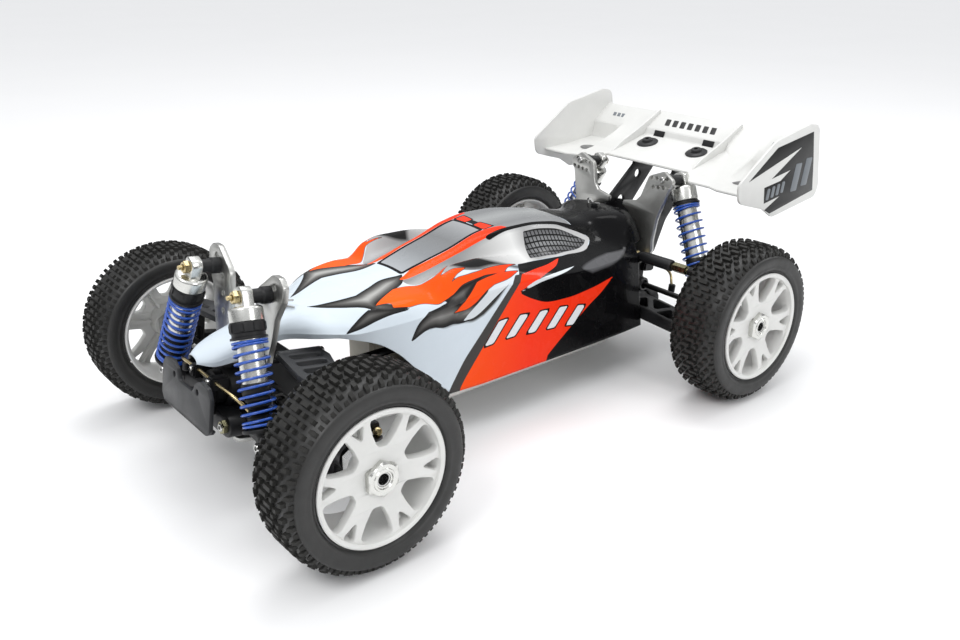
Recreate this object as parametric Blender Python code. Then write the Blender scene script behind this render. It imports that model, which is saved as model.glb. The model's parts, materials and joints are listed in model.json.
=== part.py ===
"""A 1/8 scale radio-controlled off-road buggy as separate solids.

Sizes are in millimetres and become metres when a piece is placed (see MM). The origin is on the
ground under the middle of the buggy: +X is its left side, -Y its front and +Z up.

Each end of the car has a suspension frame. It starts at the wheel centres and leans back by RAKE, so
that its axes are x across the car, v along the arms' hinge pins and w up the shock tower.
"""
from math import cos, hypot, pi, radians, sin

import bmesh
import bpy
from mathutils import Matrix, Vector

MM = 0.001
GAP = 0.3

# Driving dimensions of the whole car.
TYRE_RADIUS = 58.5
TYRE_WIDTH = 41.0
RIM_RADIUS = 40.2
WHEEL_OUTER_X = 148.0
WHEEL_INNER_X = WHEEL_OUTER_X - TYRE_WIDTH
AXLE_Z = TYRE_RADIUS
WHEELBASE = 325.0
OVERALL_LENGTH = 495.0
FRONT_Y = TYRE_RADIUS - OVERALL_LENGTH / 2
REAR_Y = FRONT_Y + WHEELBASE
WING_REAR_Y = OVERALL_LENGTH / 2
RAKE = radians(8.5)

# Suspension pivots as (x, w) in the suspension frames.
ARM_PIVOT = (24.0, -15.0)
HUB_PIVOT = (93.0, -20.0)
KINGPIN_X = 104.0
UPPER_INNER = {"front": (27.0, 27.0), "rear": (38.0, 27.0)}
UPPER_OUTER = {"front": (97.0, 25.5), "rear": (97.0, 27.5)}
SHOCK_TOP = {"front": (33.4, 68.2), "rear": (44.0, 86.5)}
SHOCK_FOOT = {"front": (66.8, -10.5), "rear": (89.0, -7.0)}
SHOCK_BODY_LENGTH = {"front": 57.0, "rear": 70.0}
STROKE = {"front": 14.0, "rear": 21.0}
SHAFT_INSIDE = 22.0
COLLAR_LENGTH = 28.5
CUP_FROM_FOOT = 11.0
SHOCK_V = {"front": -26.0, "rear": 13.4}
DRIVE_W = 1.0
DRIVE_INNER_X = 33.0
DRIVE_OUTER_X = 92.0
STEER_V = 27.0
STEER_W = 4.5
SAVER_POST = (14.0, 60.0)
SAVER_REACH = 25.0
SHAFT_Z = 52.0

# Plates and shell.
PLATE = 4.0
CHASSIS_BOTTOM = 26.0
CHASSIS_THICK = 3.0
SHELL_THICK = 1.2
WING_THICK = 1.8

COLOURS = {
    "aluminium": ((0.72, 0.72, 0.70), 0.32, 1.0),
    "black_plastic": ((0.02, 0.02, 0.022), 0.55, 0.0),
    "grey_plastic": ((0.06, 0.06, 0.065), 0.5, 0.0),
    "white_plastic": ((0.86, 0.86, 0.85), 0.4, 0.0),
    "rubber": ((0.025, 0.025, 0.024), 0.8, 0.0),
    "steel": ((0.5, 0.5, 0.5), 0.3, 1.0),
    "blue_steel": ((0.02, 0.07, 0.62), 0.3, 0.3),
    "shell_paint": ((0.85, 0.3, 0.1), 0.2, 0.0),
    "black_steel": ((0.05, 0.05, 0.05), 0.4, 0.8),
    "engine_metal": ((0.2, 0.2, 0.21), 0.45, 0.9),
    "tank_plastic": ((0.75, 0.72, 0.62), 0.45, 0.0),
}


def clear_scene():
    for item in list(bpy.data.objects):
        bpy.data.objects.remove(item, do_unlink=True)


def material(name):
    found = bpy.data.materials.get(name)
    if found:
        return found
    colour, roughness, metallic = COLOURS[name]
    made = bpy.data.materials.new(name)
    made.use_nodes = True
    shader = made.node_tree.nodes["Principled BSDF"]
    shader.inputs["Base Color"].default_value = (*colour, 1.0)
    shader.inputs["Roughness"].default_value = roughness
    shader.inputs["Metallic"].default_value = metallic
    return made


# ---------------------------------------------------------------- solids, in millimetres


def solid(points, faces):
    """A closed mesh from its points and faces, with every face turned outwards."""
    shape = bmesh.new()
    made = [shape.verts.new(point) for point in points]
    for face in faces:
        shape.faces.new([made[index] for index in face])
    bmesh.ops.recalc_face_normals(shape, faces=shape.faces)
    mesh = bpy.data.meshes.new("solid")
    shape.to_mesh(mesh)
    shape.free()
    return mesh


def prism(outline, along, low, high):
    """A plate: a flat outline drawn across one axis and drawn out from low to high along it."""
    order = {"x": (1, 2, 0), "v": (0, 2, 1), "w": (0, 1, 2)}[along]
    points = []
    for level in (low, high):
        for first, second in outline:
            point = [0.0, 0.0, 0.0]
            point[order[0]] = first
            point[order[1]] = second
            point[order[2]] = level
            points.append(point)
    count = len(outline)
    faces = [list(range(count)), list(range(count, 2 * count))]
    for index in range(count):
        after = (index + 1) % count
        faces.append([index, after, after + count, index + count])
    return solid(points, faces)


def box(x, v, w):
    """A block from its (low, high) range along each axis."""
    return prism([(x[0], v[0]), (x[1], v[0]), (x[1], v[1]), (x[0], v[1])], "w", *w)


def loft(rings):
    """Join closed rings of points with the same count, and cap the first and the last one."""
    count = len(rings[0])
    points = [point for ring in rings for point in ring]
    last = (len(rings) - 1) * count
    faces = [list(range(count)), list(range(last, last + count))]
    for start in range(0, last, count):
        for index in range(count):
            after = (index + 1) % count
            near = [start + index, start + after]
            faces.append(near + [near[1] + count, near[0] + count])
    return solid(points, faces)


def across(direction):
    """A rotation that turns +Z towards the direction."""
    return Vector(direction).to_track_quat("Z", "Y").to_matrix()


def lathe(profile, start, direction, segments=16, hexed=(), turn=0.0):
    """Turn a profile of (radius, distance) round the line from start along direction.

    A profile that starts and ends at radius 0 makes a solid piece, and any other one makes a ring.
    The profile points numbered in hexed are hexagons whose corners lie on the radius.
    """
    frame = across(direction)
    base = Vector(start)
    ring = profile[0][0] > 0
    points = []
    rows = []
    for number, (radius, distance) in enumerate(profile):
        if radius == 0:
            points.append(base + frame @ Vector((0, 0, distance)))
            rows.append([len(points) - 1] * segments)
            continue
        row = []
        for step in range(segments):
            angle = 2 * pi * step / segments + turn
            reach = radius
            if number in hexed:
                reach = radius * cos(pi / 6) / cos((angle - turn + pi / 6) % (pi / 3) - pi / 6)
            spot = Vector((reach * cos(angle), reach * sin(angle), distance))
            points.append(base + frame @ spot)
            row.append(len(points) - 1)
        rows.append(row)
    faces = []
    pairs = list(zip(rows, rows[1:])) + ([(rows[-1], rows[0])] if ring else [])
    for one, two in pairs:
        for step in range(segments):
            after = (step + 1) % segments
            corners = [one[step], one[after], two[after], two[step]]
            faces.append(list(dict.fromkeys(corners)))
    return solid(points, faces)


def rod(start, end, radius, segments=8):
    length = (Vector(end) - Vector(start)).length
    direction = Vector(end) - Vector(start)
    profile = [(0, 0), (radius, 0), (radius, length), (0, length)]
    return lathe(profile, start, direction, segments)


def coil(start, end, radius, wire, turns, steps=8, sides=3):
    """A round-wire coil spring between two points, with flat closed ends."""
    frame = across(Vector(end) - Vector(start))
    length = (Vector(end) - Vector(start)).length
    total = turns * steps
    points = []
    for step in range(total + 1):
        angle = 2 * pi * step / steps
        share = step / total
        height = wire + (length - 2 * wire) * share
        centre = Vector((radius * cos(angle), radius * sin(angle), height))
        outward = Vector((cos(angle), sin(angle), 0))
        for side in range(sides):
            swing = 2 * pi * side / sides
            around = outward * (wire * cos(swing)) + Vector((0, 0, wire * sin(swing)))
            points.append(Vector(start) + frame @ (centre + around))
    faces = [list(range(sides)), list(range(total * sides, (total + 1) * sides))]
    for step in range(total):
        for side in range(sides):
            after = (side + 1) % sides
            low = step * sides
            high = low + sides
            faces.append([low + side, low + after, high + after, high + side])
    return solid(points, faces)


def combined(operation, first, *others):
    """Join solids (UNION) or cut them out of the first one (DIFFERENCE)."""
    base = bpy.data.objects.new("base", first)
    bpy.context.collection.objects.link(base)
    tools = []
    for other in others:
        tool = bpy.data.objects.new("tool", other)
        bpy.context.collection.objects.link(tool)
        tools.append(tool)
        modifier = base.modifiers.new("combine", "BOOLEAN")
        modifier.operation = operation
        modifier.solver = "EXACT"
        modifier.object = tool
    bpy.context.view_layer.update()
    graph = bpy.context.evaluated_depsgraph_get()
    result = bpy.data.meshes.new_from_object(base.evaluated_get(graph))
    for item in [base] + tools:
        bpy.data.objects.remove(item, do_unlink=True)
    return result


def joined(first, *others):
    return combined("UNION", first, *others)


def cut(first, *others):
    return combined("DIFFERENCE", first, *others)


def mirrored(mesh, side):
    """The same piece for the left (side 1) or the right (side -1) of the car."""
    if side < 0:
        mesh.transform(Matrix.Scale(-1, 4, (1, 0, 0)))
        mesh.flip_normals()
    return mesh


def place(name, mesh, finish, pivot=(0, 0, 0), frame=None, smooth=False):
    """Add a piece drawn in its frame's millimetres, with its origin on the pivot."""
    mesh.transform(Matrix.Translation(-Vector(pivot)))
    mesh.transform(Matrix.Scale(MM, 4))
    mesh.name = name
    mesh.materials.clear()
    mesh.materials.append(material(finish))
    if smooth:
        mesh.shade_smooth()
        mesh.set_sharp_from_angle(angle=radians(35))
    item = bpy.data.objects.new(name, mesh)
    item.location = Vector(pivot) * MM
    item.parent = frame
    bpy.context.collection.objects.link(item)
    return item


def frame_at(name, y, z, lean):
    """An empty at the middle of an axle, which carries the pieces of one end of the car."""
    empty = bpy.data.objects.new(name, None)
    empty.location = (0, y * MM, z * MM)
    empty.rotation_euler = (-lean, 0, 0)
    bpy.context.collection.objects.link(empty)
    return empty


def symmetric(half):
    """A whole outline from its half at positive first coordinates, bottom to top."""
    return half + [(-first, second) for first, second in reversed(half)]


# ---------------------------------------------------------------- wheels


def tyre():
    bead = RIM_RADIUS + 0.7
    out = WHEEL_OUTER_X
    inn = WHEEL_INNER_X
    crown = TYRE_RADIUS
    profile = [(bead, out - 1.6), (46.5, out - 0.2), (53.5, out), (crown - 1.0, out - 5.5)]
    profile += [(crown, out - 11), (crown, inn + 11), (crown - 1.0, inn + 5.5), (53.5, inn)]
    profile += [(46.5, inn + 0.2), (bead, inn + 1.6)]
    return lathe(profile, (0, 0, 0), (1, 0, 0), 24)


def rim():
    """Barrel, dished disc with six windows and six small forks, and a bored hub boss."""
    out = WHEEL_OUTER_X
    inn = WHEEL_INNER_X
    inner = RIM_RADIUS - 2.2
    profile = [(4.4, out - 20), (10.5, out - 20), (11.5, out - 9), (inner, out - 6.5)]
    profile += [(inner, inn + 2), (RIM_RADIUS, inn + 2), (RIM_RADIUS, out)]
    profile += [(inner, out), (inner - 0.6, out - 2.4), (12, out - 5.2), (4.4, out - 5.2)]
    shape = lathe(profile, (0, 0, 0), (1, 0, 0), 18)
    windows = []
    for number in range(6):
        angle = 2 * pi * number / 6
        outline = []
        for reach, spread in ((17, 0.22), (34, 0.33), (34, -0.33), (17, -0.22)):
            outline.append((reach * cos(angle + spread), reach * sin(angle + spread)))
        windows.append(prism(outline, "x", out - 14, out + 4))
    return cut(shape, *windows)


def axle():
    """Stub axle, wheel hexagon and flanged wheel nut, turned as one piece."""
    out = WHEEL_OUTER_X
    hexagon = 9.8
    profile = [(0, -49), (2.6, -49), (2.6, -27.6), (hexagon, -27.6), (hexagon, -20.4), (4.1, -20.4)]
    profile += [(4.1, -4.9), (11, -4.9), (11, -3.6), (hexagon, -3.6), (hexagon, 0), (3.4, 0), (0, 0)]
    return lathe(profile, (out, 0, 0), (1, 0, 0), 12, hexed=(3, 4, 9, 10))


def add_wheels():
    for end, y in (("front", FRONT_Y), ("rear", REAR_Y)):
        centre = frame_at(end + "_axle_line", y, AXLE_Z, 0)
        for hand, side in (("left", 1), ("right", -1)):
            label = end + "_" + hand
            pieces = ((tyre, "tyre", "rubber"), (rim, "rim", "white_plastic"), (axle, "axle", "steel"))
            for make, name, finish in pieces:
                mesh = mirrored(make(), side)
                place(label + "_" + name, mesh, finish, frame=centre, smooth=True)


# ---------------------------------------------------------------- suspension


def lower_arm(end):
    """A-arm with a forked outer end, a window and the lug that carries the shock's foot."""
    x, w = ARM_PIVOT
    outer_x, outer_w = HUB_PIVOT
    profile = [(x - 6, w - 6), (x + 4, w - 6.5), (outer_x - 8, outer_w - 4.5), (outer_x + 4, outer_w - 4.5)]
    profile += [(outer_x + 5.5, outer_w), (outer_x + 4, outer_w + 4.5), (outer_x - 8, outer_w + 5)]
    profile += [(x + 4, w + 6.5), (x - 6, w + 6)]
    arm = prism(profile, "v", -17, 17)
    fork = box((outer_x - 9, outer_x + 8), (-8.4, 8.4), (outer_w - 12, outer_w + 12))
    window = box((44, 74), (-9, 9), (outer_w - 20, 0))
    foot_x, foot_w = SHOCK_FOOT[end]
    if end == "rear":
        lug = box((foot_x - 4, foot_x + 4), (16.7, 20.5), (outer_w - 3, foot_w + 4))
    else:
        post = box((foot_x - 5, foot_x + 5), (-17, -12), (-20, foot_w - 1))
        boss = rod((foot_x, -13, foot_w - 1.5), (foot_x, SHOCK_V[end] + 4, foot_w - 1.5), 5.2)
        lug = joined(post, boss)
    return joined(cut(arm, fork, window), lug)


def c_hub():
    """Caster block: a lug on the arm's pin, a web with a window for the drive shaft, two ears."""
    x, w = HUB_PIVOT
    web = cut(box((x - 7, x + 1), (-7.2, 7.2), (w + 6, 21)), box((x - 9, x + 3), (-5, 5), (-9, 10)))
    lug = box((x - 5, x + 5), (-8, 8), (w - 4.5, w + 7))
    lower = box((x - 2, KINGPIN_X + 5), (-7, 7), (w - 3, w + 3.5))
    upper = box((x - 2, KINGPIN_X + 5), (-7, 7), (16.8, 21.4))
    return joined(web, lug, lower, upper)


def knuckle():
    """Bearing carrier with kingpin bosses and the steering arm behind it."""
    barrel = lathe([(3.2, 99), (10, 99), (10, 117), (3.2, 117)], (0, 0, 0), (1, 0, 0), 16)
    post = cut(box((KINGPIN_X - 4, KINGPIN_X + 4), (-5, 5), (-16, 16.4)),
               rod((90, 0, 0), (120, 0, 0), 6.5, 16))
    outline = [(101, 6), (109, 6), (105, 24), (101, 31), (97, 31), (97, 20)]
    steering = prism(outline, "w", -5, 0)
    return joined(barrel, post, steering)


def hub_carrier():
    """Rear bearing carrier that pivots on the arm's outer pin."""
    x, w = HUB_PIVOT
    barrel = lathe([(3.2, 97), (11, 97), (11, 117), (3.2, 117)], (0, 0, 0), (1, 0, 0), 16)
    foot = cut(box((x - 5, x + 12), (-8, 8), (w - 4.5, -3)), rod((80, 0, 0), (120, 0, 0), 7, 16))
    head = cut(box((97, 104), (-12, 5), (2, 32)), rod((80, 0, 0), (120, 0, 0), 7, 16))
    return joined(barrel, foot, head)


def upper_arm():
    """Front upper arm: a wide slotted plate that narrows to the hub."""
    x, w = UPPER_INNER["front"]
    outer_x = UPPER_OUTER["front"][0]
    outline = [(x - 3, 1), (64, -6), (outer_x - 8, -6), (outer_x + 3, -3.5), (outer_x + 3, 3.5)]
    outline += [(outer_x - 8, 7), (58, 24), (x + 12, 31), (x - 3, 31)]
    plate = prism(outline, "w", w - 2.5, w + 2)
    slots = [prism(points, "w", w - 9, w + 9) for points in (
        [(35, 4.5), (43, 3.5), (43, 25), (35, 27)],
        [(50, 2.5), (58, 1.5), (58, 18), (50, 22)],
    )]
    return cut(plate, *slots)


def camber_link():
    """Rear upper link: thick sleeve, adjusting hexagon and a ball end at each side."""
    x, w = UPPER_INNER["rear"]
    outer_x, outer_w = UPPER_OUTER["rear"]
    length = hypot(outer_x - x, outer_w - w)
    profile = [(0, -4.5), (3.4, -3.5), (4.2, 0), (4.2, 37), (2.3, 37), (2.3, 40), (3.6, 40)]
    profile += [(3.6, 49), (2.6, 49), (2.6, length + 2), (0, length + 4)]
    return lathe(profile, (x, -18, w), (outer_x - x, 0, outer_w - w), 12)


def drive_shaft():
    return rod((DRIVE_INNER_X, 0, DRIVE_W), (DRIVE_OUTER_X, 0, 0.2), 2.4)


def tie_rod():
    """Steering rod from the steering link's end to just short of the knuckle's arm."""
    start = (30, STEER_V, STEER_W)
    profile = [(0, -3), (3.4, -2), (3.4, 5), (2, 6), (2, 56), (3.4, 57), (3.4, 66), (0, 68)]
    return lathe(profile, start, (1, 0, 0), 10)


def shock_line(end):
    """Top eye, foot and the unit vector down the shock, in the suspension frame."""
    top = Vector((SHOCK_TOP[end][0], SHOCK_V[end], SHOCK_TOP[end][1]))
    foot = Vector((SHOCK_FOOT[end][0], SHOCK_V[end], SHOCK_FOOT[end][1]))
    return top, foot, (foot - top).normalized()


def shock_body(end):
    """Eye, cap, collar and bored cylinder."""
    top, foot, down = shock_line(end)
    length = SHOCK_BODY_LENGTH[end]
    profile = [(0, 3.5), (4.8, 4.5), (8.4, 6.5), (10, 8.5), (10, 18), (9, 18.4), (9, 26), (10.4, 27)]
    profile += [(10.4, COLLAR_LENGTH - GAP), (7.7, COLLAR_LENGTH - GAP), (7.7, length), (2, length)]
    profile += [(2, length - SHAFT_INSIDE - STROKE[end]), (0, length - SHAFT_INSIDE - STROKE[end])]
    body = lathe(profile, top, down, 12)
    eye = rod(top - Vector((0, 3.5, 0)), top + Vector((0, 3.5, 0)), 6, 12)
    bore = rod(top - Vector((0, 9, 0)), top + Vector((0, 9, 0)), 2.3, 8)
    return cut(joined(body, eye), bore)


def shock_rod(end):
    """Shaft, spring cup, and the foot's eye."""
    top, foot, down = shock_line(end)
    full = (foot - top).length
    bottom = SHOCK_BODY_LENGTH[end]
    cup = full - CUP_FROM_FOOT
    inside = bottom - SHAFT_INSIDE
    profile = [(0, inside), (1.6, inside), (1.6, cup - 1), (6.4, cup - 1)]
    profile += [(6.4, cup), (10.4, cup + GAP), (10.4, cup + 2.6), (3, cup + 4), (3, full - 3), (0, full - 3)]
    shaft = lathe(profile, top, down, 12)
    eye = rod(foot - Vector((0, 3, 0)), foot + Vector((0, 3, 0)), 5, 12)
    bore = rod(foot - Vector((0, 9, 0)), foot + Vector((0, 9, 0)), 1.9, 8)
    return cut(joined(shaft, eye), bore)


def spring(end):
    top, foot, down = shock_line(end)
    full = (foot - top).length
    start = top + down * COLLAR_LENGTH
    stop = top + down * (full - CUP_FROM_FOOT)
    return coil(start, stop, 9.6, 0.8, 8 if end == "front" else 9)


def add_suspension(front, rear):
    for end, frame in (("front", front), ("rear", rear)):
        for hand, side in (("left", 1), ("right", -1)):
            label = end + "_" + hand + "_"
            arm_pivot = (side * ARM_PIVOT[0], 0, ARM_PIVOT[1])
            hub_pivot = (side * HUB_PIVOT[0], 0, HUB_PIVOT[1])
            upper_pivot = (side * UPPER_INNER[end][0], 0, UPPER_INNER[end][1])
            eye = (side * SHOCK_TOP[end][0], SHOCK_V[end], SHOCK_TOP[end][1])
            inner = (side * DRIVE_INNER_X, 0, DRIVE_W)
            kingpin = (side * KINGPIN_X, 0, 0)
            dark = "black_plastic"
            place(label + "lower_arm", mirrored(lower_arm(end), side), dark, arm_pivot, frame)
            if end == "front":
                place(label + "c_hub", mirrored(c_hub(), side), dark, hub_pivot, frame)
                place(label + "knuckle", mirrored(knuckle(), side), dark, kingpin, frame, True)
                place(label + "upper_arm", mirrored(upper_arm(), side), "grey_plastic", upper_pivot, frame)
                rod_pivot = (side * 30, STEER_V, STEER_W)
                place(label + "tie_rod", mirrored(tie_rod(), side), "black_steel", rod_pivot, frame, True)
            else:
                place(label + "hub_carrier", mirrored(hub_carrier(), side), dark, hub_pivot, frame, True)
                place(label + "camber_link", mirrored(camber_link(), side), dark, upper_pivot, frame, True)
            place(label + "drive_shaft", mirrored(drive_shaft(), side), "black_steel", inner, frame, True)
            place(label + "shock_body", mirrored(shock_body(end), side), "aluminium", eye, frame, True)
            place(label + "shock_rod", mirrored(shock_rod(end), side), dark, eye, frame, True)
            place(label + "spring", mirrored(spring(end), side), "blue_steel", eye, frame, True)


# ---------------------------------------------------------------- the two ends' middle pieces


def gearbox(tower_v):
    """Differential case with the holders of the arms' hinge pins in front and behind."""
    x, w = ARM_PIVOT
    lower = box((-16, 16), (-29, 29), (-24.5, -7))
    middle = box((-16, 16), (-29, 22.5) if tower_v[0] < 0 else (-22.5, 29), (-8, 10))
    holders = [box((-x - 7, x + 7), ends, (w - 6, w + 7)) for ends in ((-29, -17.6), (17.6, 29))]
    low, high = tower_v
    if low < 0:
        upper = box((-22, 22), (high + GAP, 22.5), (-6, 22))
    else:
        upper = box((-22, 22), (-22.5, low - GAP), (-6, 22))
    outlet = rod((-29, 0, DRIVE_W), (29, 0, DRIVE_W), 7, 12)
    return joined(lower, *holders, middle, upper, outlet)


def front_tower():
    """Plate with two upright ears that the nose of the shell passes between."""
    half = [(17, 10.4), (22, 18), (34, 25), (38, 40), (41, 55), (48, 67), (48, 76), (43, 80), (35, 80)]
    half += [(18, 68), (16, 52), (16, 21)]
    plate = prism(symmetric(half), "v", -9.5, -9.5 + PLATE)
    holes = []
    for side in (1, -1):
        for column, row in ((38, 73), (28.5, 63), (26, 52), (25, 41)):
            x = side * column
            holes.append(rod((x, -20, row), (x, 5, row), 1.7, 6))
    return cut(plate, *holes)


def rear_tower():
    """Plate with two ears, two rows of shock holes in each, and a lip under the gap."""
    half = [(17, 10.4), (36, 20), (44, 30), (42.5, 38), (43.5, 56), (50, 78), (54, 87), (44, 93)]
    half += [(30, 87.5), (25, 71), (21, 66.5), (8, 64), (8, 60), (16, 56), (19, 44), (14, 30)]
    plate = prism(symmetric(half), "v", -9.3, -9.3 + PLATE)
    holes = []
    for side in (1, -1):
        for number in range(4):
            x = side * (33 + 5 * number)
            w = 85 + 0.5 * number
            holes.append(rod((x, -20, w), (x, 5, w), 1.4, 6))
    return cut(plate, *holes)


def front_bumper():
    """Upright plate with two eared lobes and the block that ties it to the gearbox."""
    half = [(30, -16), (34, -12), (34, 8), (30, 13.5), (20, 14.5), (13, 11), (9.5, 4.5)]
    plate = prism(symmetric(half), "v", -44, -41.4)
    lip = box((-30, 30), (-44, -37.5), (-16, -13.4))
    block = box((-12, 12), (-42.5, -29 - GAP), (-14, -1))
    holes = [rod((side * 16.3, -60, 6.5), (side * 16.3, -30, 6.5), 1.8, 8) for side in (1, -1)]
    return cut(joined(plate, lip, block), *holes)


def wing_mount():
    """Two slanted side plates tied by a cross plate, from the gearbox up to the wing."""
    outline = [(-4, 22.5), (22, 22.5), (30, 50), (56, 88), (56, 104.9), (30, 94), (30, 88), (8, 63), (-4, 48)]
    cheeks = [prism(outline, "x", side * 21 - 1.5, side * 21 + 1.5) for side in (1, -1)]
    web = box((-21, 21), (14, 20), (36, 60))
    foot = box((-21, 21), (4, 22), (22.5, 27))
    return joined(cheeks[0], cheeks[1], web, foot)


# ---------------------------------------------------------------- chassis and what stands on it


def chassis_plate():
    half = [(15, FRONT_Y - 24), (20, FRONT_Y + 8), (44, FRONT_Y + 60), (52, FRONT_Y + 112)]
    half += [(52, REAR_Y - 50), (34, REAR_Y - 22), (18, REAR_Y - 6), (16, REAR_Y + 26)]
    top = CHASSIS_BOTTOM + CHASSIS_THICK
    return prism(symmetric(half), "w", CHASSIS_BOTTOM, top)


def engine():
    """Crankcase with a finned cooling head."""
    base = CHASSIS_BOTTOM + CHASSIS_THICK + GAP
    x = -30
    y = 0
    case = box((x - 13, x + 13), (y - 22, y + 20), (base, 66))
    profile = [(0, 60), (11, 60), (11, 72)]
    for level in range(3):
        low = 72 + 8 * level
        profile += [(18, low), (18, low + 4), (12, low + 4), (12, low + 8)]
    profile += [(15, 96), (15, 99), (0, 99)]
    head = lathe(profile, (x, y, 0), (0, 0, 1), 20)
    carburettor = rod((x, y - 36, 58), (x, y - 20, 58), 6, 12)
    return joined(case, head, carburettor)


def tuned_pipe():
    """Expansion chamber along the right side, behind the engine."""
    profile = [(0, 0), (5, 0), (7, 12), (13, 34), (13, 56), (6, 76), (3, 80), (3, 90), (0, 90)]
    return lathe(profile, (-40, 22, 46), (0.0, 1, 0), 16)


def fuel_tank():
    base = CHASSIS_BOTTOM + CHASSIS_THICK + GAP
    tank = box((-47, -12), (-92, -42), (base, 74))
    neck = rod((-30, -66, 73), (-30, -66, 86), 11, 16)
    return joined(tank, neck)


def radio_box():
    base = CHASSIS_BOTTOM + CHASSIS_THICK + GAP
    case = box((13, 47), (-84, 56), (base, 66))
    lid = box((16, 44), (-80, 52), (65, 70))
    return joined(case, lid)


def centre_drive():
    """Spur gear on the shaft that joins the two gearboxes."""
    front = FRONT_Y + 31
    rear = REAR_Y - 32
    middle = 64
    teeth = 30
    outline = []
    for number in range(teeth * 2):
        radius = 20.0 if number % 2 else 22.0
        angle = pi * number / teeth
        outline.append((radius * cos(angle), radius * sin(angle)))
    gear = prism(outline, "v", middle - 3, middle + 3)
    start = middle - front
    profile = [(0, 0), (3, 0), (3, start - 9), (10, start - 7), (10, start + 7), (3, start + 9)]
    profile += [(3, rear - front), (0, rear - front)]
    shaft = lathe(profile, (0, front, 0), (0, 1, 0), 12)
    return joined(shaft, gear)


def servo_saver():
    """Upright steering post with the lever that pushes the steering link."""
    x, v = SAVER_POST
    profile = [(0, -20), (6, -20), (6, -2), (9, -2), (9, 2), (5, 3), (5, 12), (0, 12)]
    post = lathe(profile, (x, v, 0), (0, 0, 1), 14)
    lever = prism([(x - 4, v), (x + 4, v), (x + 3, v - SAVER_REACH), (x - 3, v - SAVER_REACH)], "w", 4, 8)
    return joined(post, lever)


def steering_link():
    outline = [(-26.5, STEER_V - 3), (26.5, STEER_V - 3), (26.5, STEER_V + 3), (20, STEER_V + 7)]
    outline += [(-20, STEER_V + 7), (-26.5, STEER_V + 3)]
    return prism(outline, "w", STEER_W - 1.5, STEER_W + 3.5)


# ---------------------------------------------------------------- body shell and wing

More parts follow.
